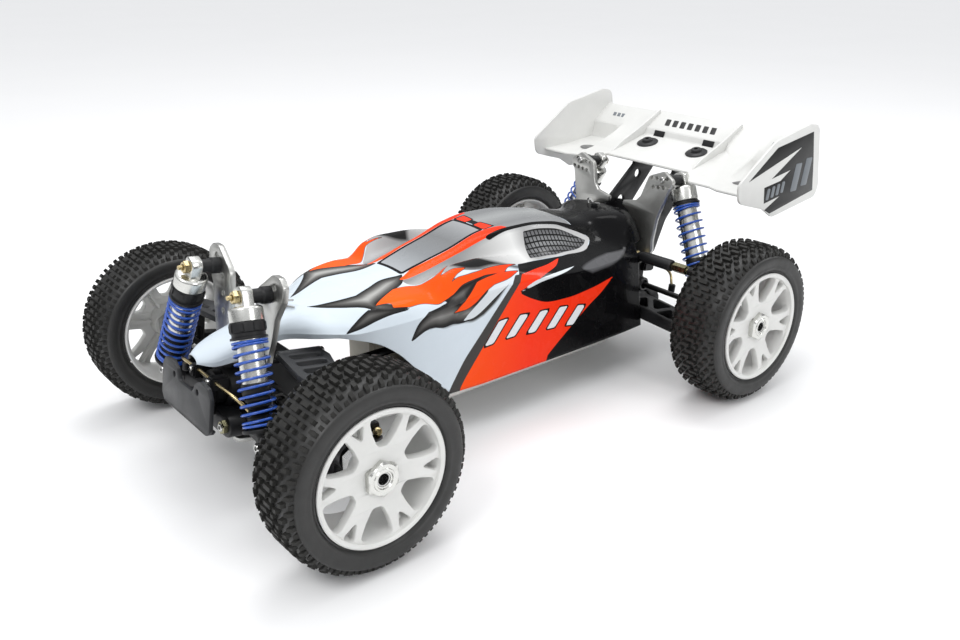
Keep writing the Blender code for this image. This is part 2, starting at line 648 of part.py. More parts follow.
# Half sections of the shell: y, then (x, z) from the lower edge over the side and up to the middle.
MIDDLE_Y = (FRONT_Y + REAR_Y) / 2
SECTIONS = [
    (-199, [(5.0, 83.6), (6.0, 84.6), (5.6, 85.4), (5.0, 86.1), (4.2, 86.7),
        (3.3, 87.1), (2.3, 87.4), (1.1, 87.6), (0, 87.7)]),
    (-190, [(11.8, 81.8), (13.0, 85.2), (12.6, 87.1), (11.5, 88.6), (9.9, 89.8),
        (7.9, 90.7), (5.7, 91.3), (2.8, 91.7), (0, 91.9)]),
    (-178, [(14.4, 83.2), (15.3, 88.0), (14.9, 90.3), (13.8, 92.2), (11.9, 93.5),
        (9.5, 94.4), (6.7, 95.0), (3.3, 95.4), (0, 95.6)]),
    (-160, [(14.4, 86.8), (14.9, 91.8), (14.6, 94.6), (13.6, 96.8), (11.8, 98.3),
        (9.4, 99.2), (6.6, 99.7), (3.2, 100.0), (0, 100.1)]),
    (-148, [(16.0, 89.0), (18.0, 93.5), (17.4, 96.2), (15.8, 98.6), (13.4, 100.1),
        (10.6, 100.8), (7.2, 101.2), (3.6, 101.5), (0, 101.6)]),
    (-132, [(30.0, 90.0), (33.0, 94.0), (30.0, 97.5), (25.5, 100.0), (20.5, 101.8),
        (15.5, 102.8), (10.5, 103.4), (5.2, 103.8), (0, 104.0)]),
    (-122, [(37.0, 90.0), (40.0, 93.5), (36.0, 97.0), (31.0, 99.5), (25.0, 101.5),
        (19.0, 103.0), (12.5, 104.0), (6.0, 104.8), (0, 105.1)]),
    (-112, [(43.0, 88.0), (46.0, 93.0), (42.5, 97.5), (37.0, 100.5), (30.0, 103.0),
        (22.0, 104.6), (14.5, 105.5), (7.0, 106.0), (0, 106.2)]),
    (-100, [(48.0, 84.0), (51.0, 94.5), (47.5, 101.0), (42.5, 104.3), (35.0, 106.0),
        (26.0, 106.8), (17.0, 107.2), (8.5, 107.6), (0, 107.8)]),
    (-88, [(51.0, 76.0), (54.0, 95.5), (50.5, 103.0), (44.5, 107.0), (36.0, 108.0),
        (27.0, 108.3), (18.0, 108.5), (9.0, 108.8), (0, 109.0)]),
    (-72, [(54.0, 59.0), (57.0, 97.0), (53.0, 104.0), (46.0, 108.0), (37.0, 108.6),
        (27.0, 108.9), (18.0, 109.6), (9.0, 110.2), (0, 110.6)]),
    (-60, [(55.6, 48.0), (58.5, 98.0), (54.0, 103.5), (46.0, 107.4), (37.0, 108.0),
        (27.0, 108.3), (18.5, 110.2), (9.0, 111.2), (0, 111.6)]),
    (-47, [(56.5, 37.0), (59.5, 99.5), (55.0, 107.0), (48.0, 115.5), (39.5, 116.0),
        (29.0, 110.5), (18.3, 113.8), (9.0, 114.4), (0, 114.6)]),
    (-36, [(56.8, 36.5), (60.0, 101.5), (55.5, 109.5), (48.0, 118.0), (40.0, 119.8),
        (30.0, 112.5), (19.4, 116.8), (9.5, 117.2), (0, 117.4)]),
    (-18, [(57.0, 36.0), (60.5, 103.5), (56.0, 110.5), (48.0, 117.5), (40.0, 120.0),
        (31.0, 114.5), (21.3, 121.0), (10.5, 121.7), (0, 122.0)]),
    (6, [(57.0, 36.0), (60.8, 104.0), (56.0, 109.5), (48.5, 114.5), (41.0, 117.2),
        (33.0, 116.0), (24.0, 127.3), (12.0, 128.6), (0, 128.9)]),
    (24, [(57.0, 36.0), (60.6, 102.5), (56.0, 106.5), (49.0, 110.5), (42.0, 113.5),
        (35.0, 117.0), (26.0, 129.0), (13.0, 130.5), (0, 130.8)]),
    (44, [(57.0, 36.0), (60.0, 100.5), (55.5, 103.5), (48.5, 107.0), (42.0, 110.5),
        (35.0, 117.0), (26.0, 128.6), (13.0, 130.6), (0, 131.0)]),
    (66, [(56.8, 36.0), (58.5, 98.0), (54.0, 100.5), (47.0, 104.0), (40.5, 108.0),
        (33.5, 115.0), (25.0, 126.0), (12.5, 128.6), (0, 129.2)]),
    (90, [(56.5, 36.0), (56.0, 96.0), (51.0, 98.5), (43.0, 101.5), (36.0, 105.0),
        (29.5, 111.5), (21.5, 121.5), (11.0, 124.8), (0, 125.8)]),
    (115, [(56.0, 36.0), (53.0, 96.0), (46.5, 98.8), (38.5, 101.5), (32.0, 105.0),
        (26.0, 110.5), (19.0, 117.5), (9.5, 120.6), (0, 121.3)]),
    (139, [(54.5, 36.0), (48.0, 90.0), (43.5, 98.5), (40.0, 106.0), (36.5, 112.5),
        (31.5, 117.5), (24.0, 120.4), (12.0, 120.8), (0, 120.6)]),
    (152, [(53.5, 36.0), (45.0, 88.0), (40.0, 96.5), (36.0, 104.0), (32.5, 110.5),
        (28.0, 115.8), (21.5, 118.8), (11.0, 119.4), (0, 119.4)]),
]
SHELL_REAR_CUT_Y = 140.5
SHELL_REAR_CUT_Z = 99.5


def body_shell():
    """Thin shell lofted through the sections, open below and at the back."""
    shape = bmesh.new()
    rows = []
    for y, half in SECTIONS:
        whole = [(x, z) for x, z in half] + [(-x, z) for x, z in reversed(half[:-1])]
        rows.append([shape.verts.new((x, y + MIDDLE_Y, z)) for x, z in whole])
    for one, two in zip(rows, rows[1:]):
        for index in range(len(one) - 1):
            shape.faces.new([one[index], one[index + 1], two[index + 1], two[index]])
    bmesh.ops.recalc_face_normals(shape, faces=shape.faces)
    bmesh.ops.solidify(shape, geom=shape.faces[:], thickness=SHELL_THICK)
    bmesh.ops.recalc_face_normals(shape, faces=shape.faces)
    mesh = bpy.data.meshes.new("shell")
    shape.to_mesh(mesh)
    shape.free()
    notch = box((-80, 80), (SHELL_REAR_CUT_Y + MIDDLE_Y, 300), (0, SHELL_REAR_CUT_Z))
    return cut(mesh, notch)


def wing():
    """Stepped main plane with a raised middle bay, two ribs and two end plates."""
    rear = WING_REAR_Y
    centre = [(rear - 78, 147.0), (rear - 33, 158.5), (rear - 31, 163.5), (rear - 10, 176.0)]
    side = [(rear - 90, 142.5), (rear - 48, 146.0), (rear - 44, 159.0), (rear - 10, 176.0)]
    columns = [(-108, side), (-66, side), (-43, centre), (43, centre), (66, side), (108, side)]
    rings = []
    for x, outline in columns:
        below = [(y + 0.4, z - WING_THICK) for y, z in reversed(outline)]
        rings.append([(x, y, z) for y, z in outline + below])
    plane = loft(rings)
    plate = [(rear - 6, 184.5), (rear - 46, 180), (rear - 94, 153), (rear - 92, 135), (rear - 71, 130)]
    plate += [(rear - 56, 121.5), (rear, 128.5)]
    ends = [prism(plate, "x", *sorted((side * 107.0, side * 109.2))) for side in (1, -1)]
    fin = [(rear - 72, 148), (rear - 34, 158), (rear - 12, 174), (rear - 14, 176), (rear - 22, 174)]
    ribs = [prism(fin, "x", side * 42 - 0.8, side * 42 + 0.8) for side in (1, -1)]
    return joined(plane, *ends, *ribs)


def add_middle(front, rear):
    place("front_gearbox", gearbox((-9.5, -9.5 + PLATE)), "black_plastic", frame=front)
    place("front_shock_tower", front_tower(), "aluminium", frame=front)
    place("front_bumper", front_bumper(), "grey_plastic", frame=front)
    place("servo_saver", servo_saver(), "black_plastic", (*SAVER_POST, 0), front, True)
    place("steering_link", steering_link(), "aluminium", (0, STEER_V, STEER_W), front)
    place("rear_gearbox", gearbox((-9.3, -9.3 + PLATE)), "black_plastic", frame=rear)
    place("rear_shock_tower", rear_tower(), "aluminium", frame=rear)
    place("wing_mount", wing_mount(), "black_plastic", frame=rear)
    place("chassis_plate", chassis_plate(), "aluminium")
    place("engine", engine(), "engine_metal", smooth=True)
    place("tuned_pipe", tuned_pipe(), "aluminium", smooth=True)
    place("fuel_tank", fuel_tank(), "tank_plastic", smooth=True)
    place("radio_box", radio_box(), "black_plastic")
    shaft_line = frame_at("centre_line", 0, SHAFT_Z, 0)
    place("centre_drive", centre_drive(), "black_steel", frame=shaft_line)
    place("body_shell", body_shell(), "shell_paint", smooth=True)
    place("rear_wing", wing(), "white_plastic")


def main():
    clear_scene()
    front = frame_at("front_suspension_frame", FRONT_Y, AXLE_Z, RAKE)
    rear = frame_at("rear_suspension_frame", REAR_Y, AXLE_Z, RAKE)
    add_wheels()
    add_suspension(front, rear)
    add_middle(front, rear)


main()
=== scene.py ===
"""The looks of a 1/8 scale off-road buggy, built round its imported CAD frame.

Shapes are drawn in millimetres. Those of the front and the rear end are drawn in that end's suspension
frame: x across the car, v along the arms' hinge pins and w up the shock tower, from the wheel centres.
Pieces of the right side are the mirror image of those of the left side, which is +X.
"""
import json
from math import atan2, cos, hypot, pi, radians, sin, tan

import bmesh
import bpy
import numpy as np
from mathutils import Matrix, Vector


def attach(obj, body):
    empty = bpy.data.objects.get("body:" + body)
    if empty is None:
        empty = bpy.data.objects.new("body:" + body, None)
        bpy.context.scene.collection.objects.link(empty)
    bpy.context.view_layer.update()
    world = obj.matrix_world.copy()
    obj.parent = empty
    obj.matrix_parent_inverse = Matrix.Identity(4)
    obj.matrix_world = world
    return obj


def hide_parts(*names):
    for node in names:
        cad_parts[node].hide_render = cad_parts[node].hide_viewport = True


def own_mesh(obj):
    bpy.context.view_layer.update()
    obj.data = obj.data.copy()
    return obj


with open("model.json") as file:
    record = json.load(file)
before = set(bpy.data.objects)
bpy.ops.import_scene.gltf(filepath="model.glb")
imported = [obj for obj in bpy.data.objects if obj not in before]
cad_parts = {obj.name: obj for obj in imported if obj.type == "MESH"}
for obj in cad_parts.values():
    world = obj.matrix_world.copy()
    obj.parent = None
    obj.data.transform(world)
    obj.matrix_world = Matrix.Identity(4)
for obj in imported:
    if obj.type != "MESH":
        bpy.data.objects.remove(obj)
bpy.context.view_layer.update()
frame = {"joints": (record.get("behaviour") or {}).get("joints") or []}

MM = 0.001
SIDES = (("left", 1), ("right", -1))
JOINTS = {joint["name"]: joint for joint in frame["joints"]}
WORLD = Matrix.Identity(4)


def suspension_frame(end):
    """Millimetre frame at the middle of an axle, leaning back as the arms' hinge pins do."""
    centre = JOINTS[end + "_left_wheel_spin"]["pos_m"]
    pin = JOINTS[end + "_left_arm_swing"]["axis"]
    rake = atan2(pin[2], -pin[1])
    place = Matrix.Translation((0, centre[1] / MM, centre[2] / MM))
    return place @ Matrix.Rotation(-rake, 4, "X")


def axle_frame(end):
    centre = JOINTS[end + "_left_wheel_spin"]["pos_m"]
    return Matrix.Translation((0, centre[1] / MM, centre[2] / MM))


LEAN = {end: suspension_frame(end) for end in ("front", "rear")}
AXLE = {end: axle_frame(end) for end in ("front", "rear")}

# Dimensions shared with the CAD, in millimetres.
WHEEL_OUT = 148.0
TYRE_WIDTH = 41.0
TYRE_RADIUS = 58.5
SHOCK_TOP = {"front": (33.4, -26.0, 68.2), "rear": (44.0, 13.4, 86.5)}
SHOCK_FOOT = {"front": (66.8, -26.0, -10.5), "rear": (89.0, 13.4, -7.0)}
SHOCK_BODY = {"front": 57.0, "rear": 70.0}
COLLAR = {"front": 24.2, "rear": 19.6}
CUP_FROM_FOOT = 11.0
TOWER_FACE = {"front": -9.5, "rear": -9.3}
TOWER_PLATE = 4.0
ARM_PIVOT = (24.0, -15.0)
HUB_PIVOT = (93.0, -20.0)
KINGPIN_X = 104.0
UPPER_INNER = {"front": (27.0, 27.0), "rear": (38.0, 27.0)}
UPPER_OUTER = {"front": (97.0, 25.5), "rear": (97.0, 27.5)}
REAR_END = 247.5


# ---------------------------------------------------------------- materials


class Finish:
    """A procedural material. Its noise and bumps are laid out in the pieces' own metres."""

    def __init__(self, name, colour, roughness, metallic=0.0, coat=0.0, coat_roughness=0.05):
        self.material = bpy.data.materials.new(name)
        self.material.use_nodes = True
        self.tree = self.material.node_tree
        self.shader = self.tree.nodes["Principled BSDF"]
        self.set("Base Color", (*colour, 1.0))
        self.set("Roughness", roughness)
        self.set("Metallic", metallic)
        self.set("Coat Weight", coat)
        self.set("Coat Roughness", coat_roughness)
        self.place = self.node("ShaderNodeTexCoord").outputs["Object"]
        self.height = None

    def set(self, socket, value):
        self.shader.inputs[socket].default_value = value

    def node(self, kind, **settings):
        made = self.tree.nodes.new(kind)
        for key, value in settings.items():
            setattr(made, key, value)
        return made

    def link(self, output, socket):
        self.tree.links.new(output, socket)

    def stretched(self, scale):
        mapping = self.node("ShaderNodeMapping")
        mapping.inputs["Scale"].default_value = scale
        self.link(self.place, mapping.inputs["Vector"])
        return mapping.outputs["Vector"]

    def noise(self, scale, detail=4.0, stretch=(1, 1, 1), roughness=0.55):
        noise = self.node("ShaderNodeTexNoise")
        noise.inputs["Scale"].default_value = scale
        noise.inputs["Detail"].default_value = detail
        noise.inputs["Roughness"].default_value = roughness
        self.link(self.stretched(stretch), noise.inputs["Vector"])
        return noise.outputs["Fac"]

    def mapped(self, value, low, high, to_low, to_high):
        ranged = self.node("ShaderNodeMapRange")
        limits = {"From Min": low, "From Max": high, "To Min": to_low, "To Max": to_high}
        for socket, limit in limits.items():
            ranged.inputs[socket].default_value = limit
        self.link(value, ranged.inputs["Value"])
        return ranged.outputs["Result"]

    def mix(self, share, first, second):
        """Mix two colours, each a colour socket or three numbers."""
        mixed = self.node("ShaderNodeMix", data_type="RGBA")
        self.link(share, mixed.inputs["Factor"])
        for socket, value in ((mixed.inputs["A"], first), (mixed.inputs["B"], second)):
            if isinstance(value, tuple):
                socket.default_value = (*value, 1.0)
            else:
                self.link(value, socket)
        return mixed.outputs["Result"]

    def tint(self, value, dark, light):
        self.link(self.mix(value, dark, light), self.shader.inputs["Base Color"])

    def vary_roughness(self, value, low, high):
        """Spread a noise, which mostly lies in the middle of 0 to 1, from low to high roughness."""
        self.link(self.mapped(value, 0.3, 0.7, low, high), self.shader.inputs["Roughness"])

    def bump(self, height, strength, distance):
        bump = self.node("ShaderNodeBump")
        bump.inputs["Strength"].default_value = strength
        bump.inputs["Distance"].default_value = distance
        self.link(height, bump.inputs["Height"])
        if self.height:
            self.link(self.height, bump.inputs["Normal"])
        self.height = bump.outputs["Normal"]
        self.link(self.height, self.shader.inputs["Normal"])


def moulded(name, dark, light, low, high, grain=2600):
    """Injection-moulded plastic: fine spark-eroded grain and slightly cloudy colour."""
    finish = Finish(name, light, high)
    finish.set("Specular IOR Level", 0.35)
    finish.tint(finish.noise(90, 3), dark, light)
    finish.vary_roughness(finish.noise(60, 4), low, high)
    finish.bump(finish.noise(grain, 2), 0.25, 0.00012)
    return finish


def metal(name, dark, light, low, high, stretch, scale=900, strength=0.12):
    """Metal with fine tool marks along one direction and slightly uneven polish."""
    finish = Finish(name, light, high, metallic=1.0)
    finish.tint(finish.noise(120, 3), dark, light)
    finish.vary_roughness(finish.noise(scale, 3, stretch), low, high)
    finish.bump(finish.noise(scale, 3, stretch), strength, 0.00006)
    return finish


def make_finishes():
    made = {
        "black": moulded("black_nylon", (0.005, 0.005, 0.006), (0.012, 0.012, 0.013), 0.34, 0.55),
        "grey": moulded("grey_nylon", (0.022, 0.023, 0.025), (0.036, 0.037, 0.039), 0.36, 0.5),
        "white": moulded("white_nylon", (0.66, 0.66, 0.64), (0.73, 0.73, 0.71), 0.28, 0.42, 1500),
        "panel": moulded("panel_print", (0.006, 0.006, 0.006), (0.012, 0.012, 0.012), 0.3, 0.4),
        "print": moulded("grey_print", (0.14, 0.155, 0.17), (0.20, 0.22, 0.24), 0.3, 0.4),
        "dark_oval": moulded("dark_oval_disc", (0.10, 0.10, 0.10), (0.16, 0.16, 0.16), 0.25, 0.4),
        "tank": moulded("tank_plastic", (0.62, 0.58, 0.48), (0.74, 0.71, 0.62), 0.35, 0.5),
        "plate": metal("satin_aluminium", (0.44, 0.44, 0.42), (0.58, 0.58, 0.56), 0.3, 0.42, (1, 1, 9)),
        "polish": metal("turned_aluminium", (0.58, 0.58, 0.555), (0.72, 0.72, 0.69), 0.2, 0.3, (1, 1, 6)),
        "steel": metal("plated_steel", (0.42, 0.42, 0.41), (0.58, 0.58, 0.57), 0.16, 0.3, (4, 1, 1)),
        "dark_steel": metal("dark_steel", (0.05, 0.05, 0.05), (0.11, 0.11, 0.11), 0.28, 0.45, (5, 1, 1)),
        "brass": metal("brass", (0.42, 0.33, 0.16), (0.60, 0.50, 0.29), 0.18, 0.32, (1, 4, 1)),
        "olive": metal("olive_brass", (0.22, 0.21, 0.12), (0.36, 0.34, 0.22), 0.2, 0.34, (1, 4, 1)),
        "casting": metal("cast_alloy", (0.10, 0.10, 0.10), (0.22, 0.22, 0.22), 0.4, 0.6, (1, 1, 1),
                         1400, 0.4),
    }
    blue = Finish("spring_paint", (0.01, 0.07, 0.45), 0.3, coat=0.5)
    blue.tint(blue.noise(500, 2), (0.008, 0.055, 0.33), (0.018, 0.110, 0.55))
    blue.bump(blue.noise(1500, 2), 0.15, 0.00008)
    made["blue"] = blue
    rubber = Finish("tread_rubber", (0.03, 0.03, 0.028), 0.7)
    rubber.set("Specular IOR Level", 0.35)
    rubber.tint(rubber.noise(220, 5), (0.011, 0.011, 0.010), (0.024, 0.023, 0.021))
    rubber.vary_roughness(rubber.noise(160, 4), 0.55, 0.8)
    rubber.bump(rubber.noise(2200, 3), 0.5, 0.0002)
    made["rubber"] = rubber
    carcass = Finish("carcass_rubber", (0.02, 0.02, 0.019), 0.5)
    carcass.tint(carcass.noise(120, 5), (0.012, 0.012, 0.0115), (0.021, 0.0205, 0.0195))
    carcass.vary_roughness(carcass.noise(160, 4), 0.4, 0.55)
    carcass.bump(carcass.noise(1800, 3), 0.3, 0.00015)
    made["carcass"] = carcass
    inside = Finish("shell_inside", (0.05, 0.05, 0.05), 0.5)
    inside.tint(inside.noise(200, 4), (0.03, 0.03, 0.03), (0.09, 0.09, 0.09))
    made["inside"] = inside
    floor = Finish("studio_floor", (0.9, 0.9, 0.9), 0.9)
    floor.tint(floor.noise(4, 2), (0.90, 0.90, 0.90), (0.92, 0.92, 0.92))
    made["floor"] = floor
    return made


FINISHES = make_finishes()


# ---------------------------------------------------------------- solids, in millimetres


def mesh_of(points, faces):
    """A mesh from its points and faces, with every face turned outwards."""
    shape = bmesh.new()
    made = [shape.verts.new(point) for point in points]
    for face in faces:
        shape.faces.new([made[index] for index in face])
    bmesh.ops.recalc_face_normals(shape, faces=shape.faces)
    return emptied(shape)


def emptied(shape):
    mesh = bpy.data.meshes.new("shape")
    shape.to_mesh(mesh)
    shape.free()
    return mesh


def soften(mesh, width, angle=30.0, segments=2):
    """Round every edge that is sharper than the angle."""
    shape = bmesh.new()
    shape.from_mesh(mesh)
    bpy.data.meshes.remove(mesh)
    edges = [edge for edge in shape.edges if edge.calc_face_angle(0) > radians(angle)]
    bmesh.ops.bevel(shape, geom=edges, offset=width, segments=segments, affect="EDGES",
                    clamp_overlap=True)
    return emptied(shape)


def box(x, v, w, soft=0.5):
    """A block with rounded edges from its (low, high) range along each axis."""
    corners = [(a, b, c) for a in x for b in v for c in w]
    sides = [(0, 1, 3, 2), (4, 6, 7, 5), (0, 4, 5, 1), (2, 3, 7, 6), (0, 2, 6, 4), (1, 5, 7, 3)]
    return soften(mesh_of(corners, sides), soft)


def across(direction):
    return Vector(direction).to_track_quat("Z", "Y").to_matrix()


def lathe(profile, start=(0, 0, 0), direction=(0, 0, 1), segments=32, hexed=()):
    """Turn (radius, distance) points round a line. A profile that never meets the line makes a ring.

    The profile points numbered in hexed are hexagons whose corners lie on the radius.
    """
    axes = across(direction)
    base = Vector(start)
    ring = profile[0][0] > 0 and profile[-1][0] > 0
    points, rows = [], []
    for number, (radius, distance) in enumerate(profile):
        count = segments if radius > 0 else 1
        row = []
        for step in range(count):
            angle = 2 * pi * step / segments
            reach = radius
            if number in hexed:
                reach = radius * cos(pi / 6) / cos((angle + pi / 6) % (pi / 3) - pi / 6)
            points.append(base + axes @ Vector((reach * cos(angle), reach * sin(angle), distance)))
            row.append(len(points) - 1)
        rows.append(row * (segments if count == 1 else 1))
    faces = []
    for one, two in list(zip(rows, rows[1:])) + ([(rows[-1], rows[0])] if ring else []):
        for step in range(segments):
            after = (step + 1) % segments
            face = list(dict.fromkeys([one[step], one[after], two[after], two[step]]))
            if len(face) > 2:
                faces.append(face)
    return mesh_of(points, faces)


def rod(start, end, radius, segments=16, soft=0.3):
    length = (Vector(end) - Vector(start)).length
    soft = min(soft, radius / 3)
    profile = [(0, 0), (radius - soft, 0), (radius, soft), (radius, length - soft),
               (radius - soft, length), (0, length)]
    return lathe(profile, start, Vector(end) - Vector(start), segments)


def ball(centre, radius, segments=16):
    profile = [(0, -radius)]
    for step in range(1, 8):
        angle = pi * step / 8
        profile.append((radius * sin(angle), -radius * cos(angle)))
    return lathe(profile + [(0, radius)], centre, (0, 0, 1), segments)


def tube(path, radius, segments=10, cyclic=False):
    """A round bar along a path of points."""
    path = [Vector(point) for point in path]
    count = len(path)
    points, faces = [], []
    normal = None
    for index, here in enumerate(path):
        before = path[index - 1] if index or cyclic else here
        after = path[(index + 1) % count] if index < count - 1 or cyclic else here
        along = (after - before).normalized()
        if normal is None:
            normal = along.orthogonal()
        normal = (normal - along * normal.dot(along)).normalized()
        other = along.cross(normal)
        for step in range(segments):
            angle = 2 * pi * step / segments
            points.append(here + (normal * cos(angle) + other * sin(angle)) * radius)
    for index in range(count if cyclic else count - 1):
        low = index * segments
        high = ((index + 1) % count) * segments
        for step in range(segments):
            after = (step + 1) % segments
            faces.append([low + step, low + after, high + after, high + step])
    if not cyclic:
        faces += [list(range(segments)), list(range((count - 1) * segments, count * segments))]
    return mesh_of(points, faces)


def smoothed(points, steps=6):
    """A Catmull-Rom curve through the points."""
    points = [Vector(point) for point in points]
    ends = [points[0] * 2 - points[1]] + points + [points[-1] * 2 - points[-2]]
    made = []
    for a, b, c, d in zip(ends, ends[1:], ends[2:], ends[3:]):
        for step in range(steps):
            t = step / steps
            made.append(0.5 * (2 * b + (c - a) * t + (2 * a - 5 * b + 4 * c - d) * t ** 2
                               + (3 * b - a - 3 * c + d) * t ** 3))
    return made + [points[-1]]


def rounded(outline, radius, steps=4):
    """A closed flat outline with its corners rounded. The radius is one number or one per corner."""
    count = len(outline)
    radii = [radius] * count if isinstance(radius, (int, float)) else radius
    made = []
    for index in range(count):
        here = Vector(outline[index])
        before = Vector(outline[index - 1]) - here
        after = Vector(outline[(index + 1) % count]) - here
        half = before.angle(after) / 2
        reach = min(radii[index] / tan(half), 0.48 * before.length, 0.48 * after.length)
        first = here + before.normalized() * reach
        last = here + after.normalized() * reach
        if reach < 0.05:
            made.append(tuple(here))
            continue
        for step in range(steps + 1):
            t = step / steps
            made.append(tuple(first * (1 - t) ** 2 + here * 2 * t * (1 - t) + last * t ** 2))
    return made


def circle(centre, radius, segments=16):
    angles = [2 * pi * step / segments for step in range(segments)]
    return [(centre[0] + radius * cos(a), centre[1] + radius * sin(a)) for a in angles]


def symmetric(half):
    return half + [(-first, second) for first, second in reversed(half)]


PLATE_AXES = {
    "x": Matrix(((0, 0, 1, 0), (1, 0, 0, 0), (0, 1, 0, 0), (0, 0, 0, 1))),
    "v": Matrix(((1, 0, 0, 0), (0, 0, -1, 0), (0, 1, 0, 0), (0, 0, 0, 1))),
    "w": Matrix.Identity(4),
}


def plate(outline, along, low, high, holes=(), soft=0.35):
    """A flat plate with holes and rounded rims, drawn across one axis from low to high along it."""
    curve = bpy.data.curves.new("plate", "CURVE")
    curve.dimensions = "2D"
    curve.fill_mode = "BOTH"
    curve.extrude = (high - low) / 2 - soft
    curve.bevel_depth = soft
    curve.bevel_resolution = 1
    curve.offset = -soft
    for ring in [outline, *holes]:
        spline = curve.splines.new("POLY")
        spline.points.add(len(ring) - 1)
        for point, (first, second) in zip(spline.points, ring):
            point.co = (first, second, 0, 1)
        spline.use_cyclic_u = True
    item = bpy.data.objects.new("plate", curve)
    bpy.context.collection.objects.link(item)
    bpy.context.view_layer.update()
    graph = bpy.context.evaluated_depsgraph_get()
    mesh = bpy.data.meshes.new_from_object(item.evaluated_get(graph))
    bpy.data.objects.remove(item)
    shape = bmesh.new()
    shape.from_mesh(mesh)
    bpy.data.meshes.remove(mesh)
    bmesh.ops.remove_doubles(shape, verts=shape.verts, dist=0.0005)
    bmesh.ops.recalc_face_normals(shape, faces=shape.faces)
    shape.transform(Matrix.Translation((0, 0, (high + low) / 2 * (-1 if along == "v" else 1))))
    shape.transform(PLATE_AXES[along])
    mesh = emptied(shape)
    mesh.materials.clear()
    return mesh


class Piece:
    """Shapes in millimetres that become one object and ride on one CAD body."""

    def __init__(self, name, base=WORLD, side=1):
        self.name = name
        self.base = base
        self.side = side
        self.shape = bmesh.new()
        self.finishes = []

    def add(self, finish, *meshes):
        if finish not in self.finishes:
            self.finishes.append(finish)
        for mesh in meshes:
            start = len(self.shape.faces)
            self.shape.from_mesh(mesh)
            self.shape.faces.ensure_lookup_table()
            for face in self.shape.faces[start:]:
                face.material_index = self.finishes.index(finish)
                face.smooth = True
            bpy.data.meshes.remove(mesh)
        return self

    def ride(self, body, *replaced, sharp=32):
        self.shape.transform(self.base)
        self.shape.transform(Matrix.Diagonal((self.side * MM, MM, MM, 1)))
        if self.side < 0:
            bmesh.ops.reverse_faces(self.shape, faces=self.shape.faces)
        mesh = bpy.data.meshes.new(self.name)
        self.shape.to_mesh(mesh)
        self.shape.free()
        for finish in self.finishes:
            mesh.materials.append(FINISHES[finish].material)
        mesh.set_sharp_from_angle(angle=radians(sharp))
        item = bpy.data.objects.new(self.name, mesh)
        bpy.context.collection.objects.link(item)
        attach(item, body)
        if replaced:
            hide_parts(*replaced)
        return item


# ---------------------------------------------------------------- small parts


def socket_screw(piece, at, direction, radius=2.4, height=2.2, finish="steel"):
    """Button or cap screw head with a hexagon socket, standing on a face."""
    profile = [(0, -0.6), (radius, -0.6), (radius, height * 0.6), (radius * 0.8, height),
               (radius * 0.52, height), (radius * 0.5, height * 0.35), (0, height * 0.35)]
    piece.add(finish, lathe(profile, at, direction, 24, hexed=(4, 5)))


def nut(piece, at, direction, radius=3.6, height=3.0, finish="brass"):
    profile = [(0, 0), (radius, 0), (radius, height * 0.85), (radius * 0.8, height),
               (radius * 0.5, height), (radius * 0.45, height * 0.7), (0, height * 0.7)]
    piece.add(finish, lathe(profile, at, direction, 24, hexed=(1, 2)))


# ---------------------------------------------------------------- wheels


TREAD_PAIRS = 39
# Knobs of one row across the tyre, as (middle, length); the next row is its mirror image.
TREAD_ROW = ((2.2, 7.2), (9.9, 3.1), (17.2, 3.0), (-6.3, 3.1), (-13.6, 3.0), (-18.3, 1.2))


TREAD_DEPTH = 2.5
KNOB_WIDTH = 2.9
FLAT_TREAD = 8.0


def crown(offset):
    """Radius of the tread's outer surface at a distance from the middle of the tyre."""
    past = max(0.0, abs(offset) - FLAT_TREAD)
    return TYRE_RADIUS - 0.2 - 0.0055 * past ** 2.8


def tyre(name, body, node, base, side):
    piece = Piece(name, base, side)
    middle = WHEEL_OUT - TYRE_WIDTH / 2
    half = []
    for offset in (0, 5, 9, 12, 14.5, 16.5, 18):
        half.append((crown(offset) - TREAD_DEPTH, offset))
    half += [(52.0, 19.3), (51.5, 20.0), (50.7, 20.4), (48.5, 20.5), (46.2, 20.4), (44.6, 20.0),
             (44.2, 20.15), (43.0, 19.9),
             (42.0, 19.2), (41.3, 18.4), (40.4, 18.6), (40.3, 16.0)]
    profile = [(radius, offset) for radius, offset in reversed(half)]
    profile += [(radius, -offset) for radius, offset in half[1:]]
    piece.add("carcass", lathe([(r, middle + o) for r, o in profile], (0, 0, 0), (1, 0, 0), 156))
    points, faces = [], []

    def knob(offset, length, angle):
        """A block that tapers from below the tread's floor to its outer surface."""
        start = len(points)
        for level, shrink in ((-TREAD_DEPTH - 0.2, 0.0), (0.0, 0.28)):
            for across_sign, around_sign in ((-1, -1), (1, -1), (1, 1), (-1, 1)):
                spot = offset + across_sign * (length / 2 - shrink)
                radius = crown(spot) + level
                turn = angle + around_sign * (KNOB_WIDTH / 2 - shrink) / TYRE_RADIUS
                points.append((middle + spot, radius * cos(turn), radius * sin(turn)))
        faces.append([start + 4, start + 5, start + 6, start + 7])
        for corner in range(4):
            after = (corner + 1) % 4
            faces.append([start + corner, start + after, start + after + 4, start + corner + 4])

    for row in range(2 * TREAD_PAIRS):
        angle = pi * row / TREAD_PAIRS
        flip = 1 if row % 2 else -1
        for offset, length in TREAD_ROW:
            knob(flip * offset, length, angle)
    piece.add("rubber", mesh_of(points, faces))
    return piece.ride(body, node, sharp=40)


SPOKES = 6
WINDOW_TURN = radians(22.5)
SPOKE_STEP = 2 * pi / SPOKES


def polar(reach, angle):
    return (reach * cos(angle), reach * sin(angle))


